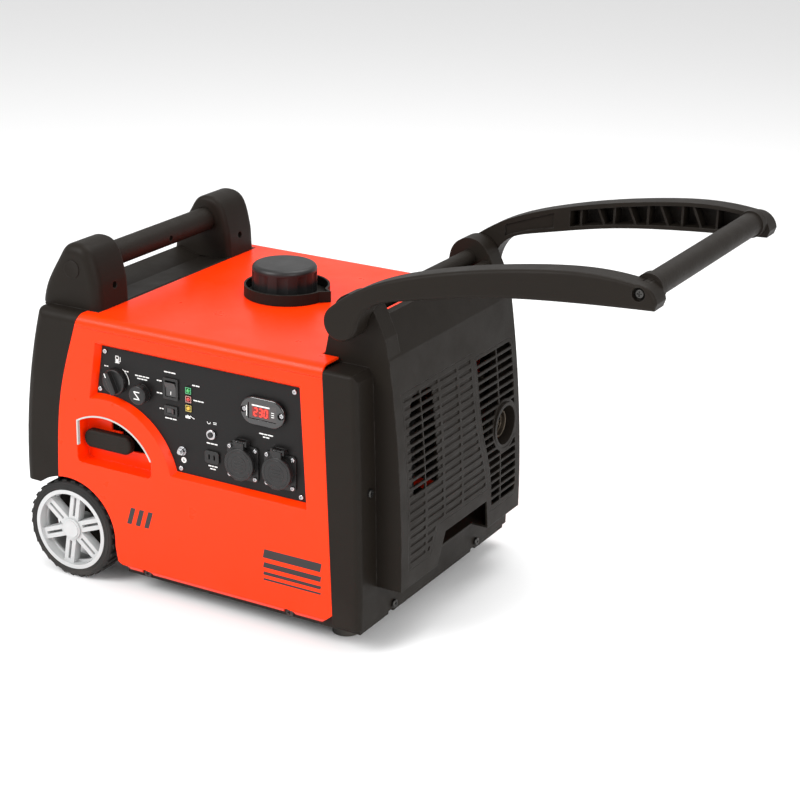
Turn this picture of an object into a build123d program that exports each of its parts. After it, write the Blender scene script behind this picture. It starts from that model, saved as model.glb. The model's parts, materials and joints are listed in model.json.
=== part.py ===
from build123d import *
import os
from math import cos, exp, radians, sin, sqrt

# Portable inverter generator in a plastic case, with two wheels and a folding tow handle.
#
# Millimetres. A piece is drawn with X = 0 at the wheels' axle, Y = 0 in the middle and Z = 0 on the
# floor; save() slides it along X, so that the origin is the middle of the whole footprint.
# The control panel faces -Y, the wheels are at the -X end, the grille and the tow handle at +X.

# Driving dimensions
WALL = 3.0
SEAM = 0.3
HALF_WIDTH = 223.0
CAP_END_X = -77.7
HANDLE_TIP_X = 876.0
CENTRE_X = (CAP_END_X + HANDLE_TIP_X) / 2
DECK_Z = 406.0
PART_LINE_Z = 389.0
LIP_Z = 34.3
BASE_Z = 28.7

WHEEL_R = 75.0
RIM_R = 60.8
WHEEL_WIDTH = 44.0
WHEEL_GAP = 1.0
ARCH_R = 82.0
AXLE_R = 7.5
RUNNING_FIT = 0.05

# Control panel and what is on it
PANEL_Y = -213.0
PANEL_T = 3.0
VALVE_XZ = (84.0, 317.0)
CHOKE_XZ = (129.0, 308.0)
ENGINE_SWITCH_XZ = (178.0, 323.5)
ECO_SWITCH_XZ = (178.0, 291.5)
LAMP_X = 207.0
LAMP_ZS = (326.5, 314.0, 301.0)
DISPLAY_XZ = (330.5, 321.0)
BREAKER_XZ = (244.5, 270.5)
DC_OUTLET_XZ = (245.5, 237.5)
EARTH_XZ = (195.0, 236.0)
SOCKET_XS = (296.0, 356.0)
SOCKET_Z = 241.0
SOCKET_HINGE_UP = 30.0
SOCKET_HINGE_Y = -220.0

# Starter: the window, the panel's cut-out and the case rim share one centre
STARTER_XZ = (67.0, 172.0)
WINDOW_R = 91.0
PANEL_ARC_R = 122.5
WINDOW_DEPTH = 26.0
ROPE_Z = 221.0
ROPE_R = 2.0
CRANK_Y = -30.0
SHAFT_R = 10.0
PULLEY_GROOVE_R = 54.0
CRANK_Z = ROPE_Z - ROPE_R - PULLEY_GROOVE_R

VALVE_REST_DEG = 115.0
ROCKER_TIP_DEG = 10.0
ROCKER_Y = PANEL_Y + 1.5
ROCKER_PIN_R = 1.2

# Fuel filler
FILLER_XY = (214.0, 19.0)
CAP_R = 47.0
COLLAR_R = 62.0

EXHAUST_YZ = (131.0, 230.0)
LUGS = 30
SPOKES = 6
FOOT_XYS = [(x, y) for x in (430.0,) for y in (-160.0, 160.0)]
MOUNT_XYS = [(x, y) for x in (205.0, 330.0) for y in (-90.0, 90.0)]

# Handles
CARRY_XZ = (1.0, 461.5)
CARRY_R = 18.0
CARRY_TOP_Z = 497.5
TOWER_Y = (125.0, 198.0)
PIVOT_XZ = (444.0, 463.0)
PIVOT_R = 6.0
CROSS_TOWER_Y = (146.0, 178.0)
ARM_Y = (180.0, 212.0)
ARM_ROUND = 5.0
GRIP_XZ = (853.0, 571.5)
GRIP_R = 16.0
SECTION_Y = 178.0
RIB_XS = (600.0, 650.0, 700.0, 750.0, 800.0)


def save(name, *solids):
    """Write one node, slid so that the origin is the middle of the footprint."""
    whole = Compound(children=[Pos(-CENTRE_X, 0, 0) * solid for one in solids for solid in one.solids()])
    whole.label = name
    export_step(whole, f"parts/{name}.step")


def polygon(*points):
    return make_face(Polyline(*points, close=True))


def block(x, y, z):
    """A box between two values on each axis."""
    size = [high - low for low, high in (x, y, z)]
    middle = [(high + low) / 2 for low, high in (x, y, z)]
    return Pos(*middle) * Box(*size)


def slab(outline, y0, y1):
    """A solid of this X-Z outline, between two planes across the body."""
    return Pos(0, y0, 0) * extrude(Plane.XZ * outline, amount=y1 - y0, dir=(0, 1, 0))


def slab_x(outline, x0, x1):
    """A solid of this Y-Z outline, between two planes along the body."""
    return Pos(x0, 0, 0) * extrude(Plane.YZ * outline, amount=x1 - x0, dir=(1, 0, 0))


def rod_x(y, z, radius, x0, x1):
    return Pos((x0 + x1) / 2, y, z) * Rot(0, 90, 0) * Cylinder(radius, x1 - x0)


def rod_y(xz, radius, y0, y1):
    return Pos(xz[0], (y0 + y1) / 2, xz[1]) * Rot(90, 0, 0) * Cylinder(radius, y1 - y0)


def rod_z(xy, radius, z0, z1):
    return Pos(xy[0], xy[1], (z0 + z1) / 2) * Cylinder(radius, z1 - z0)


def rear(piece):
    """The same piece on the other side of the body."""
    return mirror(piece, Plane.XZ)


def both(piece):
    return piece + rear(piece)


# ---------------------------------------------------------------- seams shared by the shells


def left_side(shift):
    """Everything on the wheel end's side of the seam between black end cap and coloured shell."""
    seam = Spline((31 + shift, 420), (21.6 + shift, 389), (-6.6 + shift, 287), (-17 + shift, 158), (-18 + shift, 120))
    closing = Polyline(seam @ 1, (-120, 120), (-120, 420), seam @ 0)
    return make_face(seam + closing)


def right_side(shift):
    """Everything on the grille end's side of the other seam."""
    top = (424.5 + shift, 420)
    bottom = (446 + shift, 20)
    return polygon(top, bottom, (600, 20), (600, 420))


def wheel_arch(radius):
    """Cut-out for the wheel, with the flared edge that runs down to the lip."""
    spread = radius - ARCH_R
    flare = polygon((0, 75), (radius, 68), (86 + spread, 46), (101 + spread, 38), (101 + spread, 0), (0, 0))
    return Pos(0, WHEEL_R) * Circle(radius) + flare


# ---------------------------------------------------------------- end cap with the carry handle


def left_cap_profile(inset, right):
    """Outline of the end cap, or of its cavity when inset by the wall."""
    top = DECK_Z - inset
    arc = ThreePointArc((CAP_END_X + 0.3 + inset, 140), (CAP_END_X + 3.7 + inset, 245), (-45 + inset, top))
    rest = Polyline(arc @ 1, (right, top), (right, 140), arc @ 0)
    return fillet(make_face(arc + rest).vertices().filter_by(lambda v: v.X < -30 and v.Y > 390), 9 - inset)


def end_block(outline, half_width, radius):
    """A slab of the end cap's outline with its outer corners rounded."""
    whole = slab(outline, -half_width, half_width)
    rim = whole.edges().filter_by(lambda e: abs(e.center().Y) > half_width - 1)
    rounded = rim.filter_by(lambda e: e.center().X < -40 and e.center().Z > 200 or e.center().Z > DECK_Z - 5)
    return fillet(rounded, radius)


def tower_outline(centre, radius, base_left, base_right, base_z):
    """Upright with a round top, drawn as the hull of a circle and its foot."""
    top = Pos(*centre) * Circle(radius)
    foot = Line((base_left, base_z), (base_right, base_z))
    return make_hull([*top.edges(), foot])


def carry_tower():
    low, high = TOWER_Y
    back = Spline((-56, DECK_Z), (-43, 446), (-24, 478), (4, CARRY_TOP_Z), tangents=[(0.1, 1), (1, 0)])
    front = Spline((4, CARRY_TOP_Z), (31, 484), (42, 450), (46, DECK_Z), tangents=[(1, 0), (0.05, -1)])
    outline = make_face(back + front + Line((46, DECK_Z), (-56, DECK_Z)))
    tower = slab(outline, low, high)
    outer = tower.edges().filter_by(lambda e: e.center().Y > high - 1 and e.center().Z > DECK_Z + 1)
    inner = tower.edges().filter_by(lambda e: e.center().Y < low + 1 and e.center().Z > DECK_Z + 1)
    tower = fillet(outer, 14)
    inner = tower.edges().filter_by(lambda e: e.center().Y < low + 1 and e.center().Z > DECK_Z + 1)
    tower = fillet(inner, 8)
    seat = rod_y(CARRY_XZ, CARRY_R + SEAM, low - 1, low + 12)
    screw_well = Pos(46, (low + high) / 2 - 4, 436) * Rot(0, 90, 0) * Cylinder(5, 30)
    return tower - seat - screw_well


def left_end_cap():
    shell = end_block(left_cap_profile(0, 60) & left_side(0), HALF_WIDTH, 14)
    shell -= end_block(left_cap_profile(WALL, 90), HALF_WIDTH - WALL, 10)
    shell -= slab(Pos(0, WHEEL_R) * Circle(ARCH_R), -HALF_WIDTH - 1, HALF_WIDTH + 1)
    shell -= block((-48, 60), (-TOWER_Y[0] - 1, TOWER_Y[0] + 1), (DECK_Z - 8, DECK_Z + 8))
    footing = block((-48, 46), (TOWER_Y[0], TOWER_Y[1]), (DECK_Z - WALL, DECK_Z))
    return shell + both(carry_tower() + footing)


def left_saddle():
    """Shallow dish under the carry bar, which gives the fingers room."""
    outline = polygon((-47.7, 398), (-50, 408), (-46, 413), (-6, 402), (40, 405.5), (46, 403), (46, 398))
    dish = slab(outline, -TOWER_Y[0] + SEAM, TOWER_Y[0] - SEAM)
    return dish - block((-44, 42), (-110, 110), (390, 399.5))


def carry_bar():
    bar = rod_y(CARRY_XZ, CARRY_R, -TOWER_Y[0] - 11.5, TOWER_Y[0] + 11.5)
    return bar - Pos(CARRY_XZ[0] + CARRY_R, 14, CARRY_XZ[1] - 2) * Rot(0, 90, 0) * Cylinder(4.5, 12)


# ---------------------------------------------------------------- coloured shells


def case_side_outline():
    body = polygon((-40, LIP_Z), (424, LIP_Z), (446, 53), (446, PART_LINE_Z), (-40, PART_LINE_Z))
    return body - left_side(SEAM) - right_side(-SEAM) - wheel_arch(ARCH_R)


def case_side():
    """Plain side cover: a wall with an inward lip along the bottom."""
    outline = case_side_outline()
    side = slab(outline, -HALF_WIDTH, -HALF_WIDTH + WALL)
    lip_outline = outline & (Pos(250, LIP_Z + 6.5) * Rectangle(500, 13))
    side += slab(lip_outline, -HALF_WIDTH, -HALF_WIDTH + 9)
    slope = Pos(250, -HALF_WIDTH, LIP_Z) * Rot(40, 0, 0) * Box(500, 12, 12)
    side -= slope
    for x in (133, 372):
        side -= rod_y((x, LIP_Z), 9, -HALF_WIDTH - 1, -HALF_WIDTH + 10)
    for x in (50, 150, 250, 400):
        rib = block((x - 1.5, x + 1.5), (-HALF_WIDTH + WALL, -HALF_WIDTH + 9), (366, PART_LINE_Z))
        side += rib
    return side


def panel_outline():
    frame = polygon((62, 365), (386, 365), (396.5, 203.5), (120, 203.5), (49, 280))
    return frame - Pos(*STARTER_XZ) * Circle(PANEL_ARC_R)


def window_outline():
    arch = Pos(*STARTER_XZ) * Circle(WINDOW_R)
    opening = arch & polygon((19.5, 186), (148, 186), (148, 270), (19.5, 270))
    return fillet(opening.vertices().sort_by(Axis.Y)[:2], 8)


def front_cover():
    cover = case_side()
    panel = panel_outline()
    front = -HALF_WIDTH
    seat = PANEL_Y + PANEL_T + SEAM

    def funnel(extra):
        mouth = Pos(0, front, 0) * (Plane.XZ * offset(panel, extra + 6, kind=Kind.INTERSECTION))
        throat = Pos(0, PANEL_Y, 0) * (Plane.XZ * offset(panel, extra + SEAM, kind=Kind.INTERSECTION))
        return loft([mouth.faces()[0], throat.faces()[0]], ruled=True)

    rim = slab(offset(panel, WALL, kind=Kind.INTERSECTION), PANEL_Y, seat + WALL)
    rim -= slab(offset(panel, SEAM, kind=Kind.INTERSECTION), PANEL_Y - 1, seat)
    rim -= slab(offset(panel, -6, kind=Kind.INTERSECTION), PANEL_Y - 1, seat + WALL + 1)
    cavity = funnel(0)
    cover = cover + (funnel(2.4) - cavity) + rim - cavity

    window = window_outline()
    floor_y = front + WINDOW_DEPTH
    well = slab(offset(window, WALL), front, floor_y + WALL) - slab(window, front - 1, floor_y)
    view = (window & polygon((62, 209), (160, 209), (160, 270), (62, 270))) - polygon((60, 205), (80, 205), (80, 234), (60, 234))
    well -= slab(view, floor_y - 1, floor_y + WALL + 1)
    well -= rod_y((STARTER_XZ[0], ROPE_Z), ROPE_R + 1.2, floor_y - 1, floor_y + WALL + 1)
    cover -= slab(window, front - 1, floor_y)
    return cover + well


def starter_trim():
    """Pale edging strip round the top of the starter's window."""
    window = offset(window_outline(), -0.1)
    band = window - offset(window_outline(), -2.4)
    band &= polygon((0, 212), (160, 212), (160, 300), (0, 300))
    return slab(band, -HALF_WIDTH - 0.8, -HALF_WIDTH + 4)


def rear_cover():
    cover = rear(case_side())
    for row in range(7):
        z = 120 + row * 14
        cover -= block((150, 250), (HALF_WIDTH - 10, HALF_WIDTH + 1), (z, z + 6))
    return cover


def top_cover():
    """Lid of the case: rounded along the front and back, flat on top."""
    outline = polygon((-40, PART_LINE_Z + SEAM), (460, PART_LINE_Z + SEAM), (460, DECK_Z), (-40, DECK_Z))
    outline = outline - left_side(SEAM) - right_side(-SEAM)
    lid = slab(outline, -HALF_WIDTH, HALF_WIDTH)
    lid = fillet(lid.edges().filter_by(lambda e: abs(e.center().Y) > 220 and e.center().Z > DECK_Z - 1), 14)
    hollow = slab(Pos(0, -WALL) * (outline + Pos(-30, 0) * outline + Pos(30, 0) * outline), -HALF_WIDTH + WALL, HALF_WIDTH - WALL)
    hollow = fillet(hollow.edges().filter_by(lambda e: abs(e.center().Y) > 210 and e.center().Z > DECK_Z - 5), 11)
    lid -= hollow
    lid -= block((0, 46.3), (-TOWER_Y[1] - SEAM, TOWER_Y[1] + SEAM), (380, 420))
    lid -= block((399.7, 440), (-SECTION_Y - 2.3, SECTION_Y + 2.3), (380, 420))
    return lid - rod_z(FILLER_XY, 35, 380, 420)


# ---------------------------------------------------------------- grille end


def face_x(z):
    """The grille end's outer face leans in more and more towards its top."""
    return 525 - 2.5e-4 * max(z - 90, 0) ** 2 + 3.0e-3 * max(z - 90, 0)


def face_curve(inset, z0, z1):
    zs = [z0 + (z1 - z0) * i / 4 for i in range(5)]
    return Spline(*[(face_x(z) - inset, z) for z in zs])


SLOPE_FOOT_Z = 412.0
SLOPE_TOP = (477.0, 464.0)
SECTION_BOTTOM_Z = 88.0


def section_outline(inset):
    """Side view of the protruding section: the bowed face, then the slope up to the hand hold."""
    curve = face_curve(inset, SECTION_BOTTOM_Z + inset, SLOPE_FOOT_Z - inset / 2)
    top_x, top_z = SLOPE_TOP
    back = Polyline(
        curve @ 1,
        (top_x - inset / 2, top_z - inset),
        (top_x - 11 + inset, top_z - inset),
        (463 + inset, 395),
        (463 + inset, 380),
        (470, 340),
        (470, SECTION_BOTTOM_Z + inset),
        curve @ 0,
    )
    return make_face(curve + back)


def end_frame_outline(inset):
    """Side view of the upright end frame between the coloured shells and the section."""
    points = [
        (424.5, 399 - inset),
        (470 - inset, 399 - inset),
        (476 - inset, 390 - inset),
        (482 - inset, 258),
        (487 - inset, 86),
        (487 - inset, 37 + inset),
        (440, 37 + inset),
    ]
    return polygon(*points)


def cross_tower():
    """Tower that carries the tow arm's pivot and one end of the cross bar."""
    low, high = CROSS_TOWER_Y
    upright = tower_outline((PIVOT_XZ[0] + 2, PIVOT_XZ[1]), 32, 400, 480, 392)
    horn = polygon((446, 494), (468, 486), (477, 474), (493, 441), (face_x(400), 400), (face_x(370), 370), (472, 360), (450, 392))
    return slab(upright + horn, low, high)


def zone_edge(z):
    """Y of the S-shaped rib that parts the intake slats from the exhaust louvres."""
    return 42 + 34 / (1 + exp((z - 212) / 24))


def intake_region(inset):
    edge = [(zone_edge(z) - inset, z) for z in (362 - inset, 300, 260, 230, 200, 165, 150 + inset)]
    return polygon((-158 + inset, 362 - inset), *edge, (-74 - inset, 150 + inset), (-98 - inset, 112 + inset), (-158 + inset, 112 + inset))


def exhaust_region(inset):
    edge = [(zone_edge(z) + 8 + inset, z) for z in (112 + inset, 150, 180, 210, 240, 280, 354 - inset)]
    shape = polygon(*edge, (167 - inset, 354 - inset), (167 - inset, 112 + inset))
    corners = shape.vertices().filter_by(lambda v: v.X > 160)
    return fillet(corners, 14)


def face_band(outer, inner, half_width):
    """Part of the bowed face's own wall, between two depths."""
    near = face_curve(outer, SECTION_BOTTOM_Z + 2, 400)
    far = face_curve(inner, SECTION_BOTTOM_Z + 2, 400)
    sides = Line(near @ 0, far @ 0) + Line(near @ 1, far @ 1)
    return slab(make_face(near + far + sides), -half_width, half_width)


def right_end_cap():
    """Black end frame, the protruding section's shell and the two pivot towers, in one moulding."""
    frame = slab(end_frame_outline(0) & right_side(0), -HALF_WIDTH, HALF_WIDTH)
    corners = frame.edges().filter_by(lambda e: abs(e.center().Y) > 222 and e.center().X > 470 and e.length > 30)
    frame = fillet(corners, 9)
    tops = frame.edges().filter_by(lambda e: abs(e.center().Y) > 222 and e.center().Z > 396)
    frame = fillet(tops, 6)
    inside = end_frame_outline(WALL)
    frame -= slab(inside + Pos(-20, 0) * inside, -HALF_WIDTH + WALL, HALF_WIDTH - WALL)
    section = slab(section_outline(0), -SECTION_Y, SECTION_Y)
    hollow = section_outline(WALL)
    throat = polygon((455, 140), (480, 140), (480, 372), (455, 372))
    room = slab(hollow, -SECTION_Y + WALL, SECTION_Y - WALL) + slab(throat, -SECTION_Y + 9, SECTION_Y - 9)
    frame -= block((400, 520), (-SECTION_Y + 1, SECTION_Y - 1), (392, 402))
    frame -= block((400, 483.9), (-214, 214), (30, 41))
    deck = block((400, 464.5), (-CROSS_TOWER_Y[0] - 1, CROSS_TOWER_Y[0] + 1), (DECK_Z - WALL, DECK_Z))
    cap = frame + section + both(cross_tower()) - room + deck
    cap -= slab_x(intake_region(0) + exhaust_region(0), 495, 540)
    cap -= hand_recess()
    return cap


def hand_recess():
    """Notch at the foot of the section, for the fingers round the folded grip."""
    outline = polygon((-80, 80), (-53, 132), (72, 132), (78, 80))
    return slab_x(outline, 500, 540)


def slats(region, y_range, z_range, slot_height, count):
    """Horizontal slots through a grille, kept to a region of its face."""
    low, high = z_range
    pitch = (high - low) / count
    cuts = []
    for row in range(count):
        z = low + pitch * (row + 0.5)
        band = Pos((y_range[0] + y_range[1]) / 2, z) * Rectangle(y_range[1] - y_range[0], slot_height)
        cuts.append(band & region)
    return slab_x(Sketch() + cuts, 495, 535)


def intake_grille():
    """Field of slats with three upright ribs: thin open louvres over one zone, blind grooves elsewhere."""
    panel = face_band(0, WALL, SECTION_Y) & slab_x(intake_region(SEAM), 495, 535)
    slots = slats(intake_region(5), (-170, 90), (118, 358), 5.5, 20)
    ribs = [block((490, 535), (y - 3, y + 3), (100, 370)) for y in (-108, -56, -2)]
    panel -= (slots - ribs) & face_band(-1, 1.4, SECTION_Y)
    zone = fillet(polygon((-143, 212), (-70, 212), (-74, 351), (-132, 351), (-143, 310)).vertices(), 12)
    louvres = slats(zone, (-170, 90), (118, 358), 8.5, 20)
    return panel - (louvres - block((490, 535), (-109.2, -106.8), (100, 370)))


def exhaust_grille():
    """Thin louvres round the exhaust outlet."""
    panel = face_band(0, WALL, SECTION_Y) & slab_x(exhaust_region(SEAM), 495, 535)
    slots = slats(exhaust_region(4), (30, 175), (118, 350), 8.5, 19)
    rib = block((490, 535), (113.5, 116.5), (100, 370))
    ring = rod_x(*EXHAUST_YZ, 38.5, 490, 540)
    panel -= slots - rib - ring
    return panel - rod_x(*EXHAUST_YZ, 34 + SEAM, 490, 540)


def exhaust_collar():
    """Flanged ring set in the louvres, round the exhaust outlet."""
    collar = rod_x(*EXHAUST_YZ, 34, 505, face_x(EXHAUST_YZ[1]) + 1.5) + rod_x(*EXHAUST_YZ, 36.5, 509.5, 512.5)
    return collar - rod_x(*EXHAUST_YZ, 29, 490, 540)


def cross_bar():
    reach = CROSS_TOWER_Y[0]
    return rod_y((PIVOT_XZ[0], PIVOT_XZ[1] + 3), 11.5, -reach, reach)


# ---------------------------------------------------------------- base, axle, wheels and feet


def base_tray():
    """Tray under the machinery, narrower between the wheels, with a roof over each wheel."""
    deep = block((96, 483), (-213, 213), (BASE_Z, 62)) + block((-60, 110), (-172, 172), (BASE_Z, 150))
    room = block((99, 480), (-210, 210), (BASE_Z + WALL, 63)) + block((-57, 112), (-169, 169), (BASE_Z + WALL, 151))
    tray = deep - room
    ring = Pos(0, WHEEL_R) * (Circle(ARCH_R + 0.3 + WALL) - Circle(ARCH_R + 0.3))
    ring &= polygon((0, 75), (120, 40), (120, 200), (-60, 200), (-60, 145))
    roof = slab(ring, -HALF_WIDTH + WALL + SEAM, -172)
    side = Pos(0, WHEEL_R) * Circle(ARCH_R + WALL) & polygon((-60, 149), (95, 149), (95, 200), (-60, 200))
    tray += both(roof + slab(side, -172, -169))
    tray -= rod_y((0, WHEEL_R), AXLE_R + RUNNING_FIT, -180, 180)
    for y in (-130, 115):
        tray -= rod_x(y, BASE_Z, 7, 479, 490)
    for x, y in FOOT_XYS:
        tray -= rod_z((x, y), 4.1, BASE_Z - 1, BASE_Z + WALL + 1)
    for x, y in MOUNT_XYS:
        tray += rod_z((x, y), 14, BASE_Z + WALL, BASE_Z + WALL + 5)
    return tray


def axle():
    reach = HALF_WIDTH - 8
    return rod_y((0, WHEEL_R), AXLE_R, -reach, reach)


def tyre():
    """Solid rubber tyre with slanting tread lugs, on the control panel's side."""
    outer = -HALF_WIDTH + WHEEL_GAP
    inner = outer + WHEEL_WIDTH
    body = rod_y((0, WHEEL_R), WHEEL_R - 2.5, outer, inner)
    body = fillet(body.edges().filter_by(GeomType.CIRCLE), 5)
    lug = Pos(0, (outer + inner) / 2, WHEEL_R) * Rot(0, 0, 14) * Pos(0, 0, WHEEL_R - 2.5) * Box(6.5, WHEEL_WIDTH - 8, 5)
    turned = [Pos(0, 0, WHEEL_R) * Rot(0, i * 360 / LUGS, 0) * Pos(0, 0, -WHEEL_R) * lug for i in range(LUGS)]
    body = body + turned
    envelope = rod_y((0, WHEEL_R), WHEEL_R, outer, inner)
    return (body & envelope) - rod_y((0, WHEEL_R), RIM_R, outer - 1, inner + 1)


def rim():
    """Moulded wheel with six double spokes."""
    outer = -HALF_WIDTH + WHEEL_GAP
    inner = outer + WHEEL_WIDTH
    centre = (0, WHEEL_R)
    barrel = rod_y(centre, RIM_R, outer - 0.5, inner - 4) - rod_y(centre, RIM_R - 6, outer - 1, outer + 14)
    barrel -= rod_y(centre, RIM_R - 5, outer + 18, inner + 1)
    web = rod_y(centre, RIM_R - 5, outer + 14, outer + 18)
    hub = rod_y(centre, 14, outer + 3, inner - 4)
    spokes = []
    for i in range(SPOKES):
        turn = Pos(0, 0, WHEEL_R) * Rot(0, (i + 0.15) * 360 / SPOKES, 0)
        spoke = turn * Pos(0, outer + 11.5, 34) * Box(17, 14, 46)
        spokes.append(spoke - turn * Pos(0, outer + 9, 35) * Box(4, 16, 30))
    hole_sector = Pos(0, WHEEL_R) * (Circle(RIM_R - 9) - Circle(19))
    window = slab(hole_sector, outer + 13, outer + 19)
    whole = barrel + web - window + hub + spokes
    whole += rod_y(centre, 15.5, outer + 1.5, outer + 4)
    whole &= rod_y(centre, RIM_R, outer - 0.5, inner)
    return whole - rod_y(centre, AXLE_R + RUNNING_FIT, outer + 7, inner + 1)


def rubber_feet():
    feet = []
    for x, y in FOOT_XYS:
        foot = Pos(x, y, 12) * Cylinder(20, 24)
        foot = chamfer(foot.edges().sort_by(Axis.Z)[-1], 4)
        feet.append(foot + rod_z((x, y), 12, 23, BASE_Z) + rod_z((x, y), 4, BASE_Z - 1, BASE_Z + 8))
    return feet


# ---------------------------------------------------------------- folding tow handle


def arm_outline():
    """Side view of a tow arm: an eye at the pivot, a bowed beam and a blunt end at the grip."""
    back = Spline((428, 482.5), (475, 515), (560, 547), (712, 579), (800, 586.5), (848, 583))
    tip = ThreePointArc(back @ 1, (868, 577), (HANDLE_TIP_X, 562))
    end = Line(tip @ 1, (HANDLE_TIP_X - 3, 553))
    belly = Spline(end @ 1, (753, 544.5), (640, 530.5), (533, 507.6), (492, 494), (467, 456))
    eye = ThreePointArc(belly @ 1, (441, 438.7), back @ 0)
    return make_face(back + tip + end + belly + eye)


def tow_arm():
    """Channel-shaped arm, open towards the body's middle, braced inside by a zigzag of ribs."""
    low, high = ARM_Y
    outline = arm_outline()
    arm = slab(outline, -high, -low)
    outer = arm.edges().filter_by(lambda e: e.center().Y < -high + 1)
    arm = fillet(outer, ARM_ROUND)
    roof = Spline((585, 548), (650, 562), (712, 573.4), (800, 581), (838, 578.6))
    floor = Spline((585, 525), (640, 536), (753, 550), (838, 556.5))
    pocket = make_face(roof + Line(roof @ 1, floor @ 1) + floor + Line(floor @ 0, roof @ 0))
    plate = polygon((484, 496.5), (520, 510), (560, 519.5), (560, 541), (520, 526.5), (484, 513))
    arm -= slab(pocket, -high + 6, -low + 1) + slab(plate, -low - 3, -low + 1)
    ribs = []
    for i, x in enumerate(RIB_XS):
        ribs.append(polygon((x - 1.5, 480), (x + 1.5, 480), (x + 1.5, 620), (x - 1.5, 620)))
        if i:
            left = RIB_XS[i - 1]
            ribs.append(polygon((left + 4, 600), (left + 7.5, 600), (x - 4, 515), (x - 7.5, 515)))
    brace = slab((Sketch() + ribs) & pocket, -high + 5, -low - 4)
    arm += brace
    eye_hole = rod_y(PIVOT_XZ, PIVOT_R + RUNNING_FIT, -high + 6, -low + 1)
    screw_well = rod_y(GRIP_XZ, 8.5, -high - 1, -high + 7)
    grip_socket = rod_y(GRIP_XZ, GRIP_R - 4, -low - 12, -low + 1)
    return arm - eye_hole - screw_well - grip_socket


def tow_grip():
    """Round bar between the arms, with a collar and a spigot at each end."""
    reach = ARM_Y[0]
    bar = rod_y(GRIP_XZ, GRIP_R, -reach, reach)
    spigots = rod_y(GRIP_XZ, GRIP_R - 4.2, -reach - 11, reach + 11)
    collars = both(rod_y(GRIP_XZ, GRIP_R + 2.5, -reach, -reach + 14))
    return bar + spigots + collars


def tow_pivot_pins():
    """One pin each side, fixed in its tower, on which the arm's eye turns."""
    low, high = CROSS_TOWER_Y
    pin = rod_y(PIVOT_XZ, PIVOT_R, -ARM_Y[1] + 7, -high)
    return pin, rear(pin)


def pan_screw(radius, height, slot=True):
    """Screw head on its own axis, +Z outwards, with a cross recess."""
    head = Pos(0, 0, height / 2) * Cylinder(radius, height)
    head = fillet(head.edges().sort_by(Axis.Z)[-1], height * 0.45)
    recess = Pos(0, 0, height) * (Box(radius * 1.1, radius * 0.24, height) + Box(radius * 0.24, radius * 1.1, height))
    return head - recess if slot else head


def facing_front(solid, x, y, z):
    return Pos(x, y, z) * Rot(90, 0, 0) * solid


def tow_grip_screws():
    head = facing_front(pan_screw(6, 3.5), GRIP_XZ[0], -ARM_Y[1] + 7, GRIP_XZ[1])
    return head, rear(head)


# ---------------------------------------------------------------- control panel


def front_plate(width, height, corner, xz, y0, y1):
    """Upright plate with rounded corners, centred on a point of the panel."""
    return slab(Pos(*xz) * RectangleRounded(width, height, corner), y0, y1)


def socket_points(spread_x, spread_z):
    return [(x + dx, SOCKET_Z + dz) for x in SOCKET_XS for dx in (-spread_x, spread_x) for dz in (-spread_z, spread_z)]


def control_panel():
    plate = slab(panel_outline(), PANEL_Y, PANEL_Y + PANEL_T)
    back = PANEL_Y + PANEL_T + 1
    front = PANEL_Y - 1
    for xz, radius in ((VALVE_XZ, 5.5), (CHOKE_XZ, 5.5), (BREAKER_XZ, 5.5), (EARTH_XZ, 3.2)):
        plate -= rod_y(xz, radius, front, back)
    for z in LAMP_ZS:
        plate -= rod_y((LAMP_X, z), 3.3, front, back)
    plate -= front_plate(21, 27, 1, ENGINE_SWITCH_XZ, front, back)
    plate -= front_plate(18, 11, 1, ECO_SWITCH_XZ, front, back)
    plate -= front_plate(46, 24, 1, DISPLAY_XZ, front, back)
    plate -= front_plate(19, 14.5, 2, DC_OUTLET_XZ, front, back)
    for x in SOCKET_XS:
        plate -= rod_y((x, SOCKET_Z), 21.3, front, back)
    return plate


def fuel_valve_knob():
    """Round knob with a pointed finger bar, which turns the fuel valve."""
    x, z = VALVE_XZ
    disc = rod_y(VALVE_XZ, 18.5, PANEL_Y - 8, PANEL_Y - SEAM)
    disc = fillet(disc.edges().sort_by(Axis.Y)[0], 2)
    turn = Rot(0, -VALVE_REST_DEG, 0)
    bar = Pos(x, 0, z) * turn * Pos(0, PANEL_Y - 12.5, 0) * Box(33, 10, 9)
    bar = fillet(bar.edges().filter_by(lambda e: e.center().Y < PANEL_Y - 12), 2)
    pointer = Pos(x, 0, z) * turn * Pos(13, PANEL_Y - 17.6, 0) * Box(7, 0.8, 2)
    return disc + bar + pointer + rod_y(VALVE_XZ, 5, PANEL_Y - 1, PANEL_Y + 18)


def choke_knob():
    knob = rod_y(CHOKE_XZ, 14, PANEL_Y - 14, PANEL_Y - SEAM)
    knob = fillet(knob.edges().filter_by(GeomType.CIRCLE).sort_by(Axis.Y)[0], 2.5)
    groove = rod_y(CHOKE_XZ, 16, PANEL_Y - 6, PANEL_Y - 3) - rod_y(CHOKE_XZ, 12, PANEL_Y - 6, PANEL_Y - 3)
    return knob - groove + rod_y(CHOKE_XZ, 5, PANEL_Y - 1, PANEL_Y + 30)


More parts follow.
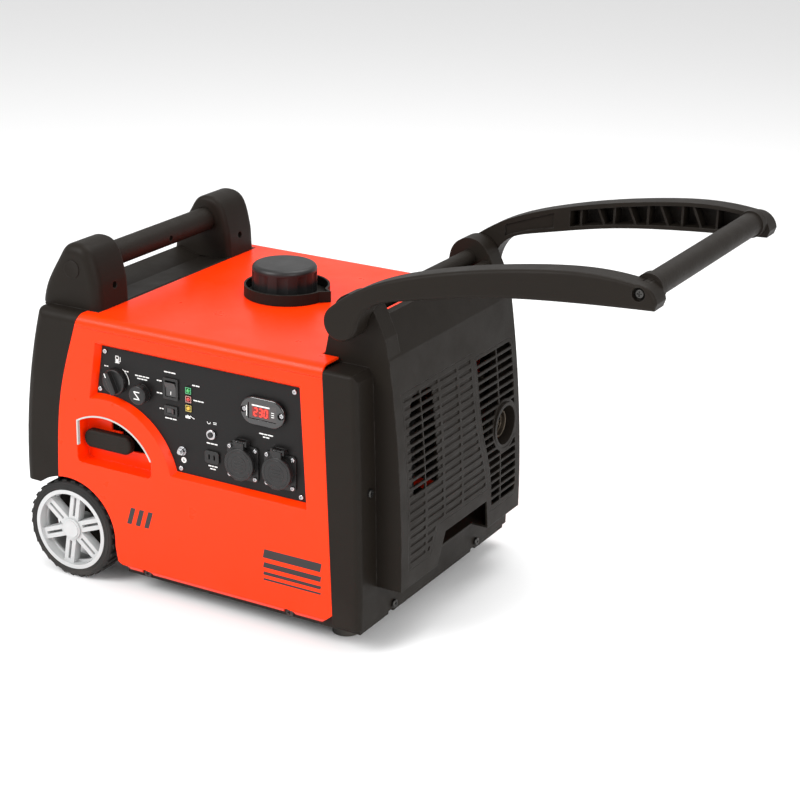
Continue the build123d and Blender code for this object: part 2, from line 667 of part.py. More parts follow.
def switch_housings():
    """Frame and rear box of the engine switch and of the smaller economy switch."""
    pieces = []
    for xz, width, height in ((ENGINE_SWITCH_XZ, 20.6, 26.6), (ECO_SWITCH_XZ, 17.6, 10.6)):
        frame = front_plate(width + 4, height + 4, 1.5, xz, PANEL_Y - 2.5, PANEL_Y)
        box = front_plate(width, height, 0.8, xz, PANEL_Y, PANEL_Y + 20)
        room = front_plate(width - 3, height - 3, 0.5, xz, PANEL_Y - 4, PANEL_Y + 16)
        pieces.append(frame + box - room)
    fit = ROCKER_PIN_R + RUNNING_FIT
    x, z = ENGINE_SWITCH_XZ
    pieces[0] -= rod_x(ROCKER_Y, z, fit, x - 9.8, x + 9.8)
    pieces[1] -= rod_z((ECO_SWITCH_XZ[0], ROCKER_Y), fit, ECO_SWITCH_XZ[1] - 4.8, ECO_SWITCH_XZ[1] + 4.8)
    return pieces


def rocker(plane, half, width):
    """Rocker with a hollow V face on a pivot pin, tipped so that one end stands proud."""
    outline = polygon((-half, 4.5), (0, 2.8), (half, 4.5), (half * 0.7, -3), (-half * 0.7, -3))
    body = extrude(outline, amount=width / 2, both=True)
    pin = Cylinder(ROCKER_PIN_R, width + 2.4)
    return plane * Rot(0, 0, ROCKER_TIP_DEG) * (body + pin)


def engine_switch_rocker():
    x, z = ENGINE_SWITCH_XZ
    upright = Plane(origin=(x, ROCKER_Y, z), x_dir=(0, 0, 1), z_dir=(1, 0, 0))
    return rocker(upright, 10.6, 17)


def eco_switch_rocker():
    x, z = ECO_SWITCH_XZ
    lying = Plane(origin=(x, ROCKER_Y, z), x_dir=(1, 0, 0), z_dir=(0, 0, -1))
    return rocker(lying, 6.4, 7)


def lamp_frame():
    """Column of three square frames for the indicator lamps."""
    frame = None
    for z in LAMP_ZS:
        square = front_plate(9.5, 10.5, 1, (LAMP_X, z), PANEL_Y - 1.2, PANEL_Y)
        frame = square if frame is None else frame + square
    frame += front_plate(1.5, 40, 0.5, (LAMP_X, LAMP_ZS[1]), PANEL_Y - 0.8, PANEL_Y)
    for z in LAMP_ZS:
        frame -= rod_y((LAMP_X, z), 3.1, PANEL_Y - 3, PANEL_Y + 1)
    return frame


def lamp(index):
    centre = (LAMP_X, LAMP_ZS[index])
    body = rod_y(centre, 3, PANEL_Y - 3, PANEL_Y + 9)
    body = fillet(body.edges().filter_by(GeomType.CIRCLE).sort_by(Axis.Y)[0], 2)
    return body + rod_y(centre, 4.5, PANEL_Y + PANEL_T, PANEL_Y + PANEL_T + 1.5)


def display_bezel():
    x, z = DISPLAY_XZ
    oval = SlotOverall(70, 40)
    bezel = slab(Pos(x, z) * oval, PANEL_Y - 7, PANEL_Y)
    bezel = fillet(bezel.edges().filter_by(lambda e: e.center().Y < PANEL_Y - 6), 2.5)
    bezel -= front_plate(45, 23, 1.5, DISPLAY_XZ, PANEL_Y - 8, PANEL_Y + 1)
    for side in (-1, 1):
        bezel -= rod_y((x + side * 29.5, z), 5, PANEL_Y - 8, PANEL_Y - 3)
    return bezel


def display_window():
    """Tinted window and the meter's box behind it."""
    pane = front_plate(44.4, 22.4, 1.2, DISPLAY_XZ, PANEL_Y - 5.5, PANEL_Y - 2)
    box = front_plate(44, 22, 1, DISPLAY_XZ, PANEL_Y - 2, PANEL_Y + 22)
    flange = front_plate(52, 30, 2, DISPLAY_XZ, PANEL_Y + PANEL_T, PANEL_Y + PANEL_T + 2)
    return pane + box + flange


def breaker_nut():
    nut = rod_y(BREAKER_XZ, 7.5, PANEL_Y - 4, PANEL_Y)
    nut = fillet(nut.edges().filter_by(GeomType.CIRCLE).sort_by(Axis.Y)[0], 1.5)
    sleeve = rod_y(BREAKER_XZ, 5.3, PANEL_Y - 1, PANEL_Y + 22)
    return nut + sleeve - rod_y(BREAKER_XZ, 4.05, PANEL_Y - 5, PANEL_Y + 20)


def breaker_button():
    button = rod_y(BREAKER_XZ, 4, PANEL_Y - 6, PANEL_Y + 15)
    return fillet(button.edges().filter_by(GeomType.CIRCLE).sort_by(Axis.Y)[0], 1)


def dc_outlet():
    """Two-slot low-voltage outlet."""
    x, z = DC_OUTLET_XZ
    plate = front_plate(23, 18, 4, DC_OUTLET_XZ, PANEL_Y - 3, PANEL_Y)
    body = front_plate(18.4, 14, 2, DC_OUTLET_XZ, PANEL_Y - 1, PANEL_Y + 22)
    for side in (-1, 1):
        body -= front_plate(2.6, 8, 1.2, (x + side * 4.2, z), PANEL_Y - 4, PANEL_Y + 14)
        plate -= front_plate(2.6, 8, 1.2, (x + side * 4.2, z), PANEL_Y - 4, PANEL_Y + 1)
    return plate + body


def earth_terminal():
    """Earth stud with its washer and wing-less nut."""
    nut = slab(Pos(*EARTH_XZ) * RegularPolygon(5.5, 6), PANEL_Y - 5.5, PANEL_Y - 1)
    washer = rod_y(EARTH_XZ, 6.5, PANEL_Y - 1, PANEL_Y)
    return nut + washer + rod_y(EARTH_XZ, 3, PANEL_Y - 9, PANEL_Y + 12)


def socket_body(x):
    """Mains outlet: square flange, round well with two contact holes and the cover's hinge ears."""
    centre = (x, SOCKET_Z)
    flange = front_plate(50, 50, 5, centre, PANEL_Y - 2.5, PANEL_Y)
    barrel = rod_y(centre, 21, PANEL_Y - 9, PANEL_Y + 22)
    body = flange + barrel
    hinge = (SOCKET_HINGE_Y, SOCKET_Z + SOCKET_HINGE_UP)
    for side in (-1, 1):
        ear = block((x + side * 9 - 1.7, x + side * 9 + 1.7), (SOCKET_HINGE_Y - 3, PANEL_Y), (hinge[1] - 3.5, hinge[1] + 3.5))
        body += ear
    body += block((x - 10.7, x + 10.7), (PANEL_Y - 2.5, PANEL_Y), (SOCKET_Z + 20, hinge[1] + 3.5))
    body -= rod_y(centre, 19.3, PANEL_Y - 10, PANEL_Y + 8)
    for side in (-1, 1):
        body -= rod_y((x + side * 9.5, SOCKET_Z), 2.5, PANEL_Y + 7, PANEL_Y + 20)
    for dx in (-20.5, 20.5):
        for dz in (-20.5, 20.5):
            body -= rod_y((x + dx, SOCKET_Z + dz), 1.6, PANEL_Y - 3, PANEL_Y + 1)
    return body + rod_x(*hinge, 1.2, x - 9, x + 9)


def socket_cover(x):
    """Round spring cover, hung from the pin above the outlet."""
    hinge = (SOCKET_HINGE_Y, SOCKET_Z + SOCKET_HINGE_UP)
    disc_y = PANEL_Y - 9.4
    disc = rod_y((x, SOCKET_Z), 23, disc_y - 4, disc_y)
    disc = fillet(disc.edges().filter_by(GeomType.CIRCLE).sort_by(Axis.Y)[0], 1.5)
    strap = block((x - 7, x + 7), (disc_y - 2.5, disc_y), (SOCKET_Z + 15, hinge[1] + 1))
    knuckle = rod_x(*hinge, 3, x - 7, x + 7)
    cover = disc + strap + knuckle
    return cover - rod_x(*hinge, 1.2 + RUNNING_FIT, x - 8, x + 8)


def panel_screws():
    """Bright screws of the panel's corners, the display and the mains outlets."""
    corners = [(67, 358), (57, 301), (193, 210), (389, 210), (378, 358)]
    x, z = DISPLAY_XZ
    heads = [facing_front(pan_screw(3.6, 2.2), cx, PANEL_Y, cz) for cx, cz in corners]
    heads += [facing_front(pan_screw(3.6, 2.6), x + side * 29.5, PANEL_Y - 3, z) for side in (-1, 1)]
    heads += [facing_front(pan_screw(3.2, 2.2), sx, PANEL_Y - 2.5, sz) for sx, sz in socket_points(20.5, 20.5)]
    return heads


# ---------------------------------------------------------------- recoil starter


def starter_grip():
    """Long rounded pull grip, lying in the window."""
    x = STARTER_XZ[0]
    grip = Pos(x - 2, -207, ROPE_Z) * Box(81, 14, 27)
    grip = fillet(grip.edges().filter_by(Axis.Y), 12)
    grip = fillet(grip.edges().filter_by(lambda e: abs(e.center().Y + 207) > 6), 4)
    boss = rod_y((x, ROPE_Z), 6, -201, -198.5)
    return grip + boss - rod_y((x, ROPE_Z), ROPE_R, -205, -197)


def starter_rope():
    """The straight lead of the rope, from the grip to where it leaves the pulley."""
    return rod_y((STARTER_XZ[0], ROPE_Z), ROPE_R, -205, CRANK_Y)


def starter_pulley():
    x = STARTER_XZ[0]
    flanges = rod_x(CRANK_Y, CRANK_Z, PULLEY_GROOVE_R + 8, x - 5, x + 5)
    groove = rod_x(CRANK_Y, CRANK_Z, 80, x - 2.4, x + 2.4) - rod_x(CRANK_Y, CRANK_Z, PULLEY_GROOVE_R - 0.3, x - 3, x + 3)
    pulley = flanges - groove
    return pulley - rod_x(CRANK_Y, CRANK_Z, PIVOT_R + RUNNING_FIT, x - 6, x + 6)


def recoil_housing():
    """Recoil starter's dished cover and fan shroud, with cooling slots and the pulley's pin."""
    x = STARTER_XZ[0]
    cup = rod_x(CRANK_Y, CRANK_Z, 84, x - 12, 196) - rod_x(CRANK_Y, CRANK_Z, 81, x - 9, 197)
    pin = rod_x(CRANK_Y, CRANK_Z, PIVOT_R, x - 10, x + 5.5)
    for i in range(12):
        turn = Pos(0, CRANK_Y, CRANK_Z) * Rot(i * 30, 0, 0)
        cup -= turn * Pos(x - 11, 0, 50) * Box(5, 8, 42)
    return cup + pin - rod_y((x, ROPE_Z), ROPE_R + 1, -140, -60)


# ---------------------------------------------------------------- fuel system


def fuel_cap():
    """Domed screw cap with a scalloped skirt."""
    x, y = FILLER_XY
    top = DECK_Z + 46
    bottom = DECK_Z + 7
    cap = rod_z(FILLER_XY, CAP_R, bottom, top)
    cap = fillet(cap.edges().filter_by(GeomType.CIRCLE).sort_by(Axis.Z)[-1], 7)
    for i in range(10):
        angle = radians(i * 36 + 10)
        reach = CAP_R + 11
        cap -= Pos(x + reach * cos(angle), y + reach * sin(angle), bottom + 13) * Cylinder(14, 34)
    return cap - rod_z(FILLER_XY, 33.5, bottom - 1, bottom + 26)


def fuel_collar():
    """Drip tray round the filler neck, with a spout towards the grille end."""
    x, y = FILLER_XY
    bottom = DECK_Z + SEAM
    spout = polygon((x + 6, y - 60), (x + 78, y), (x + 6, y + 60))
    plan = Pos(x + 4, y) * Circle(COLLAR_R) + spout
    tray = Pos(0, 0, bottom) * extrude(plan, amount=16)
    inside = Pos(0, 0, bottom + 2.5) * extrude(offset(plan, -3), amount=20)
    return tray - inside - rod_z(FILLER_XY, 31.5, bottom - 1, bottom + 4)


def fuel_tank():
    """Tank under the deck, with the filler neck that comes up through it."""
    body = block((95, 385), (-165, 165), (300, 383))
    body = fillet(body.edges(), 18)
    room = block((98, 382), (-162, 162), (303, 380))
    room = fillet(room.edges(), 15)
    neck = rod_z(FILLER_XY, 31, 378, DECK_Z + 26)
    posts = [rod_z((x, y), 8, 381, DECK_Z - WALL) for x in (125, 355) for y in (-135, 135)]
    return body + neck + posts - room - rod_z(FILLER_XY, 28, 370, DECK_Z + 27)


# ---------------------------------------------------------------- machinery inside the case


def engine_block():
    """Crankcase with a finned cylinder leaning to the back."""
    case = block((196, 335), (-115, 95), (60, 215))
    case = fillet(case.edges().filter_by(Axis.X), 18)
    lean = Pos(265, 40, 200) * Rot(-35, 0, 0)
    barrel = lean * Pos(0, 0, 28) * Cylinder(36, 70)
    fins = [lean * Pos(0, 0, 14 + i * 8) * Box(84, 92, 2.5) for i in range(7)]
    head = lean * Pos(0, 0, 66) * Box(84, 84, 10)
    nose = rod_x(CRANK_Y, CRANK_Z, 26, 150, 197)
    whole = case + barrel + fins + head + nose
    feet = [rod_z(xy, 14, 48, 62) for xy in MOUNT_XYS]
    return whole + feet - rod_x(CRANK_Y, CRANK_Z, SHAFT_R + RUNNING_FIT, 149, 230)


def engine_mounts():
    """Four rubber blocks between the engine and the tray."""
    return [rod_z(xy, 14, BASE_Z + WALL + 5, 48) for xy in MOUNT_XYS]


def crank_rotor():
    """Crankshaft end, flywheel fan and the outer rotor of the alternator, in one turning piece."""
    y, z = CRANK_Y, CRANK_Z
    shaft = rod_x(y, z, SHAFT_R, 84, 228)
    disc = rod_x(y, z, 80, 92, 97)
    cup = rod_x(y, z, 78, 97, 146) - rod_x(y, z, 70, 97, 147)
    blades = []
    for i in range(16):
        turn = Pos(0, y, z) * Rot(i * 22.5, 0, 0)
        blades.append(turn * Pos(88, 0, 62) * Rot(0, 0, 20) * Box(10, 2, 30))
    return shaft + disc + cup + blades


def stator():
    """Wound core fixed to the engine's nose, inside the rotor."""
    ring = rod_x(CRANK_Y, CRANK_Z, 66, 108, 142)
    for i in range(18):
        turn = Pos(0, CRANK_Y, CRANK_Z) * Rot(i * 20, 0, 0)
        ring -= turn * Pos(125, 0, 60) * Box(36, 5, 24)
    boss = rod_x(CRANK_Y, CRANK_Z, 26, 142, 150)
    return ring + boss - rod_x(CRANK_Y, CRANK_Z, 12, 100, 151)


def muffler():
    """Silencer box of sheet metal, with the pipe to the outlet and the elbow from the cylinder."""
    y, z = EXHAUST_YZ
    can = block((350, 458), (45, 195), (150, 285))
    can = fillet(can.edges().filter_by(Axis.X), 20)
    room = block((352.5, 455.5), (47.5, 192.5), (152.5, 282.5))
    room = fillet(room.edges().filter_by(Axis.X), 17.5)
    baffle = block((403, 405), (46, 194), (151, 284)) - rod_x(105, 190, 14, 402, 406)
    pipe = rod_x(y, z, 20, 457, 512)
    elbow = rod_x(80, 255, 11, 307, 351)
    bores = rod_x(y, z, 18, 450, 513) + rod_x(80, 255, 9, 312, 353)
    return can - (room - baffle) + pipe + elbow - bores


def carburettor():
    """Carburettor and its inlet stub, on the engine's grille side."""
    body = block((341, 385), (-75, -30), (160, 215)) + Pos(363, -52, 148) * Cylinder(19, 26)
    return body + rod_x(-52, 190, 16, 335, 392)


def air_filter_box():
    box = block((392, 455), (-150, -15), (150, 285))
    return fillet(box.edges(), 8)


def inverter_unit():
    """Finned power electronics box on the floor of the tray, behind the control panel."""
    body = block((120, 186), (-195, -120), (36, 150)) + block((112, 194), (-200, -117), (BASE_Z + WALL, 36))
    for i in range(9):
        body -= block((124 + i * 7, 127 + i * 7), (-196, -183), (50, 151))
    return body


def shell_screws():
    """Bolts in the notches along the bottom and in the channels where the tow arms lie."""
    heads = []
    for x in (133, 372):
        heads.append(facing_front(pan_screw(6, 4), x, -213, LIP_Z + 1.2))
    channel = Rot(0, 90, 0) * pan_screw(6, 4)
    heads.append(Pos(face_of_frame(230) + 0.2, -194, 230) * channel)
    ends = [Pos(487, y, 44) * Rot(0, 90, 0) * pan_screw(6, 4) for y in (-130, 115)]
    return heads + [rear(head) for head in heads] + ends


def face_of_frame(z):
    """X of the end frame's own face, on which the channels' screws sit."""
    return 482 + (258 - z) * 5 / 172


PIECES = {
    "base_tray": base_tray,
    "front_cover": front_cover,
    "rear_cover": rear_cover,
    "top_cover": top_cover,
    "left_end_cap": left_end_cap,
    "left_saddle": left_saddle,
    "carry_bar": carry_bar,
    "right_end_cap": right_end_cap,
    "intake_grille": intake_grille,
    "exhaust_grille": exhaust_grille,
    "exhaust_collar": exhaust_collar,
    "cross_bar": cross_bar,
    "axle": axle,
    "tow_grip": tow_grip,
    "control_panel": control_panel,
    "starter_trim": starter_trim,
    "fuel_valve_knob": fuel_valve_knob,
    "choke_knob": choke_knob,
    "engine_switch_rocker": engine_switch_rocker,
    "eco_switch_rocker": eco_switch_rocker,
    "lamp_frame": lamp_frame,
    "display_bezel": display_bezel,
    "display_window": display_window,
    "breaker_nut": breaker_nut,
    "breaker_button": breaker_button,
    "dc_outlet": dc_outlet,
    "earth_terminal": earth_terminal,
    "starter_grip": starter_grip,
    "starter_rope": starter_rope,
    "starter_pulley": starter_pulley,
    "recoil_housing": recoil_housing,
    "fuel_cap": fuel_cap,
    "fuel_collar": fuel_collar,
    "fuel_tank": fuel_tank,
    "engine_block": engine_block,
    "crank_rotor": crank_rotor,
    "stator": stator,
    "muffler": muffler,
    "carburettor": carburettor,
    "air_filter_box": air_filter_box,
    "inverter_unit": inverter_unit,
}

GROUPS = {
    "rubber_feet": rubber_feet,
    "engine_mounts": engine_mounts,
    "switch_housings": switch_housings,
    "panel_screws": panel_screws,
    "shell_screws": shell_screws,
    "tow_pivot_pins": tow_pivot_pins,
    "tow_grip_screws": tow_grip_screws,
}

LAMPS = ("green", "red", "yellow")
SIDES = {"front": lambda piece: piece, "rear": rear}
MIRRORED = {"tow_arm": tow_arm, "tyre": tyre, "rim": rim}


def main():
    os.makedirs("parts", exist_ok=True)
    for name, build in PIECES.items():
        save(name, build())
    for name, build in GROUPS.items():
        save(name, *build())
    for name, build in MIRRORED.items():
        piece = build()
        for side, placed in SIDES.items():
            save(f"{name}_{side}", placed(piece))
    for index, colour in enumerate(LAMPS):
        save(f"lamp_{colour}", lamp(index))
    for number, x in enumerate(SOCKET_XS, start=1):
        save(f"outlet_{number}_body", socket_body(x))
        save(f"outlet_{number}_cover", socket_cover(x))


if __name__ == "__main__":
    main()
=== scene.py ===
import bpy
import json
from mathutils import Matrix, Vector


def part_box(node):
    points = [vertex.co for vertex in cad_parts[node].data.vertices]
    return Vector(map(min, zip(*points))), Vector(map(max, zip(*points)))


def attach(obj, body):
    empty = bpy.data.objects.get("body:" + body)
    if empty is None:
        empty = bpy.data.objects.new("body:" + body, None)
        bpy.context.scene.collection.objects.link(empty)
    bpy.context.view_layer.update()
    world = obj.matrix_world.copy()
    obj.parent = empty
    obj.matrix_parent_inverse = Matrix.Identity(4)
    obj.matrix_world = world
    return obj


bl_info = {
    "name": "Portable Generator Looks",
    "version": (1, 0, 0),
    "blender": (4, 5, 0),
    "location": "View3D > Sidebar > Generator",
    "description": "Finishes, small trim and a plain studio for the portable generator's packed frame",
    "category": "Object",
}

import json
from math import cos, pi, radians, sin

import bmesh
import bpy
from mathutils import Matrix, Vector

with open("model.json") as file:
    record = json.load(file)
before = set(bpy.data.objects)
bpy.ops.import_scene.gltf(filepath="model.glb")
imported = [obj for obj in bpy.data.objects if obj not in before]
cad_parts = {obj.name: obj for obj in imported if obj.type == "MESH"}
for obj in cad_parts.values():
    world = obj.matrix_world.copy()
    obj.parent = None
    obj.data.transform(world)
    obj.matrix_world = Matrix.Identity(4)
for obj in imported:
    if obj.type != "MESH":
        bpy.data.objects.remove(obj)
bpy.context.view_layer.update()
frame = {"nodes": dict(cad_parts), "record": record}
MM = 0.001
MARK_LIFT = 0.06 * MM
JOINTS = {joint["name"]: joint for joint in frame["record"]["behaviour"]["joints"]}
TOWER_OUTER_Y = 198 * MM
EXHAUST_Y = 131 * MM
EXHAUST_Z = 230 * MM
CAMERA_PLACE = (1.30685, -2.3196, 1.2607)
CAMERA_TARGET = (0.02455, 0.0, 0.289)
CAMERA_ROLL = 1.23
CAMERA_LENS = 90.27
CAMERA_SHIFT = (-0.0041, 0.0006)


# ---------------------------------------------------------------- sizes and colours a user may change


def colour_property(name, text, value):
    return bpy.props.FloatVectorProperty(
        name=name, description=text, default=value, subtype="COLOR", size=3, min=0.0, max=1.0
    )


def length_property(name, text, value):
    return bpy.props.FloatProperty(
        name=name, description=text, default=value, subtype="DISTANCE", unit="LENGTH", min=0.0
    )


class GeneratorColours(bpy.types.PropertyGroup):
    shell: colour_property("Shell", "Colour of the case's plastic shells", (1.0, 0.034, 0.0))
    mouldings: colour_property("Mouldings", "Colour of the end caps, towers and arms", (0.0135, 0.0105, 0.008))
    panel: colour_property("Panel", "Colour of the control panel's plate", (0.009, 0.0082, 0.0080))
    knobs: colour_property("Knobs", "Colour of knobs and outlets", (0.012, 0.0115, 0.0115))
    tyre: colour_property("Tyre", "Colour of the tread rubber", (0.016, 0.0155, 0.015))
    wheel: colour_property("Wheel", "Colour of the moulded wheels", (0.52, 0.53, 0.53))
    marks: colour_property("Marks", "Colour of the printed marks on the panel", (0.82, 0.82, 0.80))
    digits: colour_property("Digits", "Colour of the lit digits", (1.0, 0.03, 0.015))


class GeneratorSizes(bpy.types.PropertyGroup):
    mark_stroke: length_property("Mark stroke", "Line width of the printed marks", 0.9 * MM)
    print_thickness: length_property("Print thickness", "Thickness of printed and stuck-on marks", 0.12 * MM)
    spring_wire: length_property("Spring wire", "Wire radius of the outlet covers' springs", 0.45 * MM)
    spring_radius: length_property("Spring radius", "Coil radius of the outlet covers' springs", 3.75 * MM)
    plug_radius: length_property("Plug radius", "Radius of the plugs at the carry bar's ends", 13.0 * MM)


class StudioSettings(bpy.types.PropertyGroup):
    floor_size: length_property("Floor size", "Side of the square floor", 16.0)
    floor_colour: colour_property("Floor colour", "Colour of the plain floor", (0.95, 0.95, 0.95))
    key_power: bpy.props.FloatProperty(
        name="Key light", description="Power of the main soft light", default=112.0, min=0.0, unit="POWER"
    )
    sky: bpy.props.FloatProperty(
        name="Sky", description="Strength of the even light all round", default=0.72, min=0.0
    )


# ---------------------------------------------------------------- places taken from the frame


class Place:
    """Corners and middle of a CAD node at rest."""

    def __init__(self, node):
        self.low, self.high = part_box(node)
        self.mid = (self.low + self.high) / 2


def pivot(joint):
    return Vector(JOINTS[joint]["pos_m"])


# ---------------------------------------------------------------- modelling by hand


def clear_selection():
    bpy.ops.object.select_all(action="DESELECT")


def pick(*objects):
    clear_selection()
    for obj in objects:
        obj.select_set(True)
    bpy.context.view_layer.objects.active = objects[0]


def settle(obj):
    """Move an object's place, turn and size into its mesh."""
    pick(obj)
    bpy.ops.object.transform_apply(location=True, rotation=True, scale=True)
    return obj


def block(name, low, high):
    clear_selection()
    low, high = Vector(low), Vector(high)
    bpy.ops.mesh.primitive_cube_add(size=1, location=(low + high) / 2)
    obj = bpy.context.object
    obj.name = name
    obj.scale = high - low
    return settle(obj)


AXIS_TURNS = {"X": (0, pi / 2, 0), "Y": (pi / 2, 0, 0), "Z": (0, 0, 0)}


def rod(name, centre, radius, depth, axis, sides=48):
    clear_selection()
    bpy.ops.mesh.primitive_cylinder_add(
        vertices=sides, radius=radius, depth=depth, location=centre, rotation=AXIS_TURNS[axis]
    )
    bpy.context.object.name = name
    return settle(bpy.context.object)


def ring(name, centre, radius, wire, axis, sides=64, around=12):
    clear_selection()
    bpy.ops.mesh.primitive_torus_add(
        major_radius=radius,
        minor_radius=wire,
        major_segments=sides,
        minor_segments=around,
        location=centre,
        rotation=AXIS_TURNS[axis],
    )
    bpy.context.object.name = name
    return settle(bpy.context.object)


def edit(obj):
    pick(obj)
    bpy.ops.object.mode_set(mode="EDIT")


def leave():
    bpy.ops.object.mode_set(mode="OBJECT")


def choose_faces(obj, chosen):
    """In edit mode, select the faces for which chosen(face) holds."""
    bpy.ops.mesh.select_mode(type="FACE")
    bpy.ops.mesh.select_all(action="DESELECT")
    mesh = bmesh.from_edit_mesh(obj.data)
    for face in mesh.faces:
        face.select_set(bool(chosen(face)))
    bmesh.update_edit_mesh(obj.data)


def step_face(obj, normal, thickness, depth):
    """Inset the faces that look along normal, and push the inset by depth."""
    edit(obj)
    choose_faces(obj, lambda face: face.normal.dot(Vector(normal)) > 0.99)
    bpy.ops.mesh.inset(thickness=thickness, depth=depth)
    leave()
    return obj


def turn(obj, degrees, centre, axis="Y"):
    """Turn the whole mesh about a point."""
    edit(obj)
    bpy.ops.mesh.select_all(action="SELECT")
    bpy.ops.transform.rotate(value=radians(degrees), orient_axis=axis, center_override=centre)
    leave()
    return obj


def arc(name, centre, radius, width, depth, start, sweep, steps=20):
    """Flat curved bar in an upright plane, spun from its end face. Angles run from +X towards +Z."""
    clear_selection()
    bpy.ops.mesh.primitive_plane_add(size=1, location=(0, 0, 0))
    obj = bpy.context.object
    obj.name = name
    obj.scale = (width, depth, 1)
    obj.location = Vector(centre) + Vector((radius, 0, 0))
    settle(obj)
    edit(obj)
    bpy.ops.mesh.select_all(action="SELECT")
    bpy.ops.mesh.spin(steps=steps, angle=radians(sweep), center=centre, axis=(0, -1, 0))
    close_shape()
    leave()
    spun = obj.data
    spun.transform(Matrix.Translation(Vector(centre)) @ Matrix.Rotation(-radians(start), 4, "Y")
                   @ Matrix.Translation(-Vector(centre)))
    return obj


def close_shape():
    """In edit mode: merge doubles, fill open ends and turn every face outwards."""
    bpy.ops.mesh.select_all(action="SELECT")
    bpy.ops.mesh.remove_doubles(threshold=1e-6)
    bpy.ops.mesh.select_all(action="DESELECT")
    bpy.ops.mesh.select_mode(type="EDGE")
    bpy.ops.mesh.select_non_manifold(extend=False, use_wire=False, use_multi_face=False)
    bpy.ops.mesh.fill_holes(sides=0)
    bpy.ops.mesh.select_all(action="SELECT")
    bpy.ops.mesh.normals_make_consistent(inside=False)


def round_off(obj, width, segments=2):
    """Round the sharp edges with a bevel modifier and keep the result."""
    rounding = obj.modifiers.new("Rounding", "BEVEL")
    rounding.width = width
    rounding.segments = segments
    rounding.limit_method = "ANGLE"
    rounding.angle_limit = radians(40)
    pick(obj)
    bpy.ops.object.modifier_apply(modifier=rounding.name)
    return obj


def coil(name, centre, radius, wire, turns, length):
    """Helical spring along X, made by a screw of one small circle."""
    clear_selection()
    bpy.ops.mesh.primitive_circle_add(
        vertices=10, radius=wire, location=(radius, 0, 0), rotation=(pi / 2, 0, 0)
    )
    obj = bpy.context.object
    obj.name = name
    settle(obj)
    screw = obj.modifiers.new("Winding", "SCREW")
    screw.angle = turns * 2 * pi
    screw.screw_offset = length
    screw.axis = "Z"
    screw.steps = screw.render_steps = int(24 * turns)
    pick(obj)
    bpy.ops.object.modifier_apply(modifier=screw.name)
    edit(obj)
    close_shape()
    leave()
    obj.rotation_euler = (0, pi / 2, 0)
    obj.location = Vector(centre) - Vector((length / 2, 0, 0))
    return settle(obj)


def join(name, objects):
    pick(*objects)
    if len(objects) > 1:
        bpy.ops.object.join()
    joined = bpy.context.object
    joined.name = name
    return joined


def hand_over(obj, material, body, smooth=35):
    """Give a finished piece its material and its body."""
    pick(obj)
    bpy.ops.object.shade_smooth_by_angle(angle=radians(smooth))
    obj.data.materials.clear()
    obj.data.materials.append(material)
    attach(obj, body)
    return obj


# ---------------------------------------------------------------- shader groups


class Nodes:
    """Adds nodes to one tree, set up and linked in a line each."""

    def __init__(self, tree):
        self.tree = tree

    def add(self, kind, inputs=None, **settings):
        node = self.tree.nodes.new(kind)
        for key, value in settings.items():
            setattr(node, key, value)
        for key, value in (inputs or {}).items():
            if isinstance(value, bpy.types.NodeSocket):
                self.tree.links.new(value, node.inputs[key])
            else:
                node.inputs[key].default_value = value
        return node

    def maths(self, operation, a, b=0.5, clamp=False):
        return self.add("ShaderNodeMath", {0: a, 1: b}, operation=operation, use_clamp=clamp).outputs[0]

    def mix(self, factor, a, b):
        node = self.add("ShaderNodeMix", {0: factor, 6: a, 7: b}, data_type="RGBA")
        return node.outputs[2]

    def noise(self, vector, scale, detail=3.0, roughness=0.5):
        inputs = {"Vector": vector, "Scale": scale, "Detail": detail, "Roughness": roughness}
        return self.add("ShaderNodeTexNoise", inputs).outputs["Fac"]


def new_group(name, inputs, outputs):
    """Empty node group with named sockets; returns it with its node helper and its two end nodes."""
    group = bpy.data.node_groups.new(name, "ShaderNodeTree")
    for label, kind, value in inputs:
        socket = group.interface.new_socket(name=label, in_out="INPUT", socket_type=kind)
        if value is not None:
            socket.default_value = value
    for label, kind in outputs:
        group.interface.new_socket(name=label, in_out="OUTPUT", socket_type=kind)
    nodes = Nodes(group)
    return group, nodes, nodes.add("NodeGroupInput"), nodes.add("NodeGroupOutput")


FLOAT = "NodeSocketFloat"
VECTOR = "NodeSocketVector"


def moulded_grain():
    """Fine leathery skin of a mould: small cells with softer waves under them."""
    inputs = [("Vector", VECTOR, None), ("Scale", FLOAT, 900.0), ("Waves", FLOAT, 0.3)]
    group, nodes, start, end = new_group("Moulded grain", inputs, [("Height", FLOAT)])
    cells = nodes.add(
        "ShaderNodeTexVoronoi", {"Vector": start.outputs["Vector"], "Scale": start.outputs["Scale"]},
        feature="SMOOTH_F1",
    )
    waves = nodes.noise(start.outputs["Vector"], nodes.maths("MULTIPLY", start.outputs["Scale"], 0.12), 4.0)
    waves = nodes.maths("MULTIPLY", waves, start.outputs["Waves"])
    height = nodes.maths("ADD", nodes.maths("MULTIPLY", cells.outputs["Distance"], 0.7), waves)
    nodes.tree.links.new(height, end.inputs["Height"])
    return group


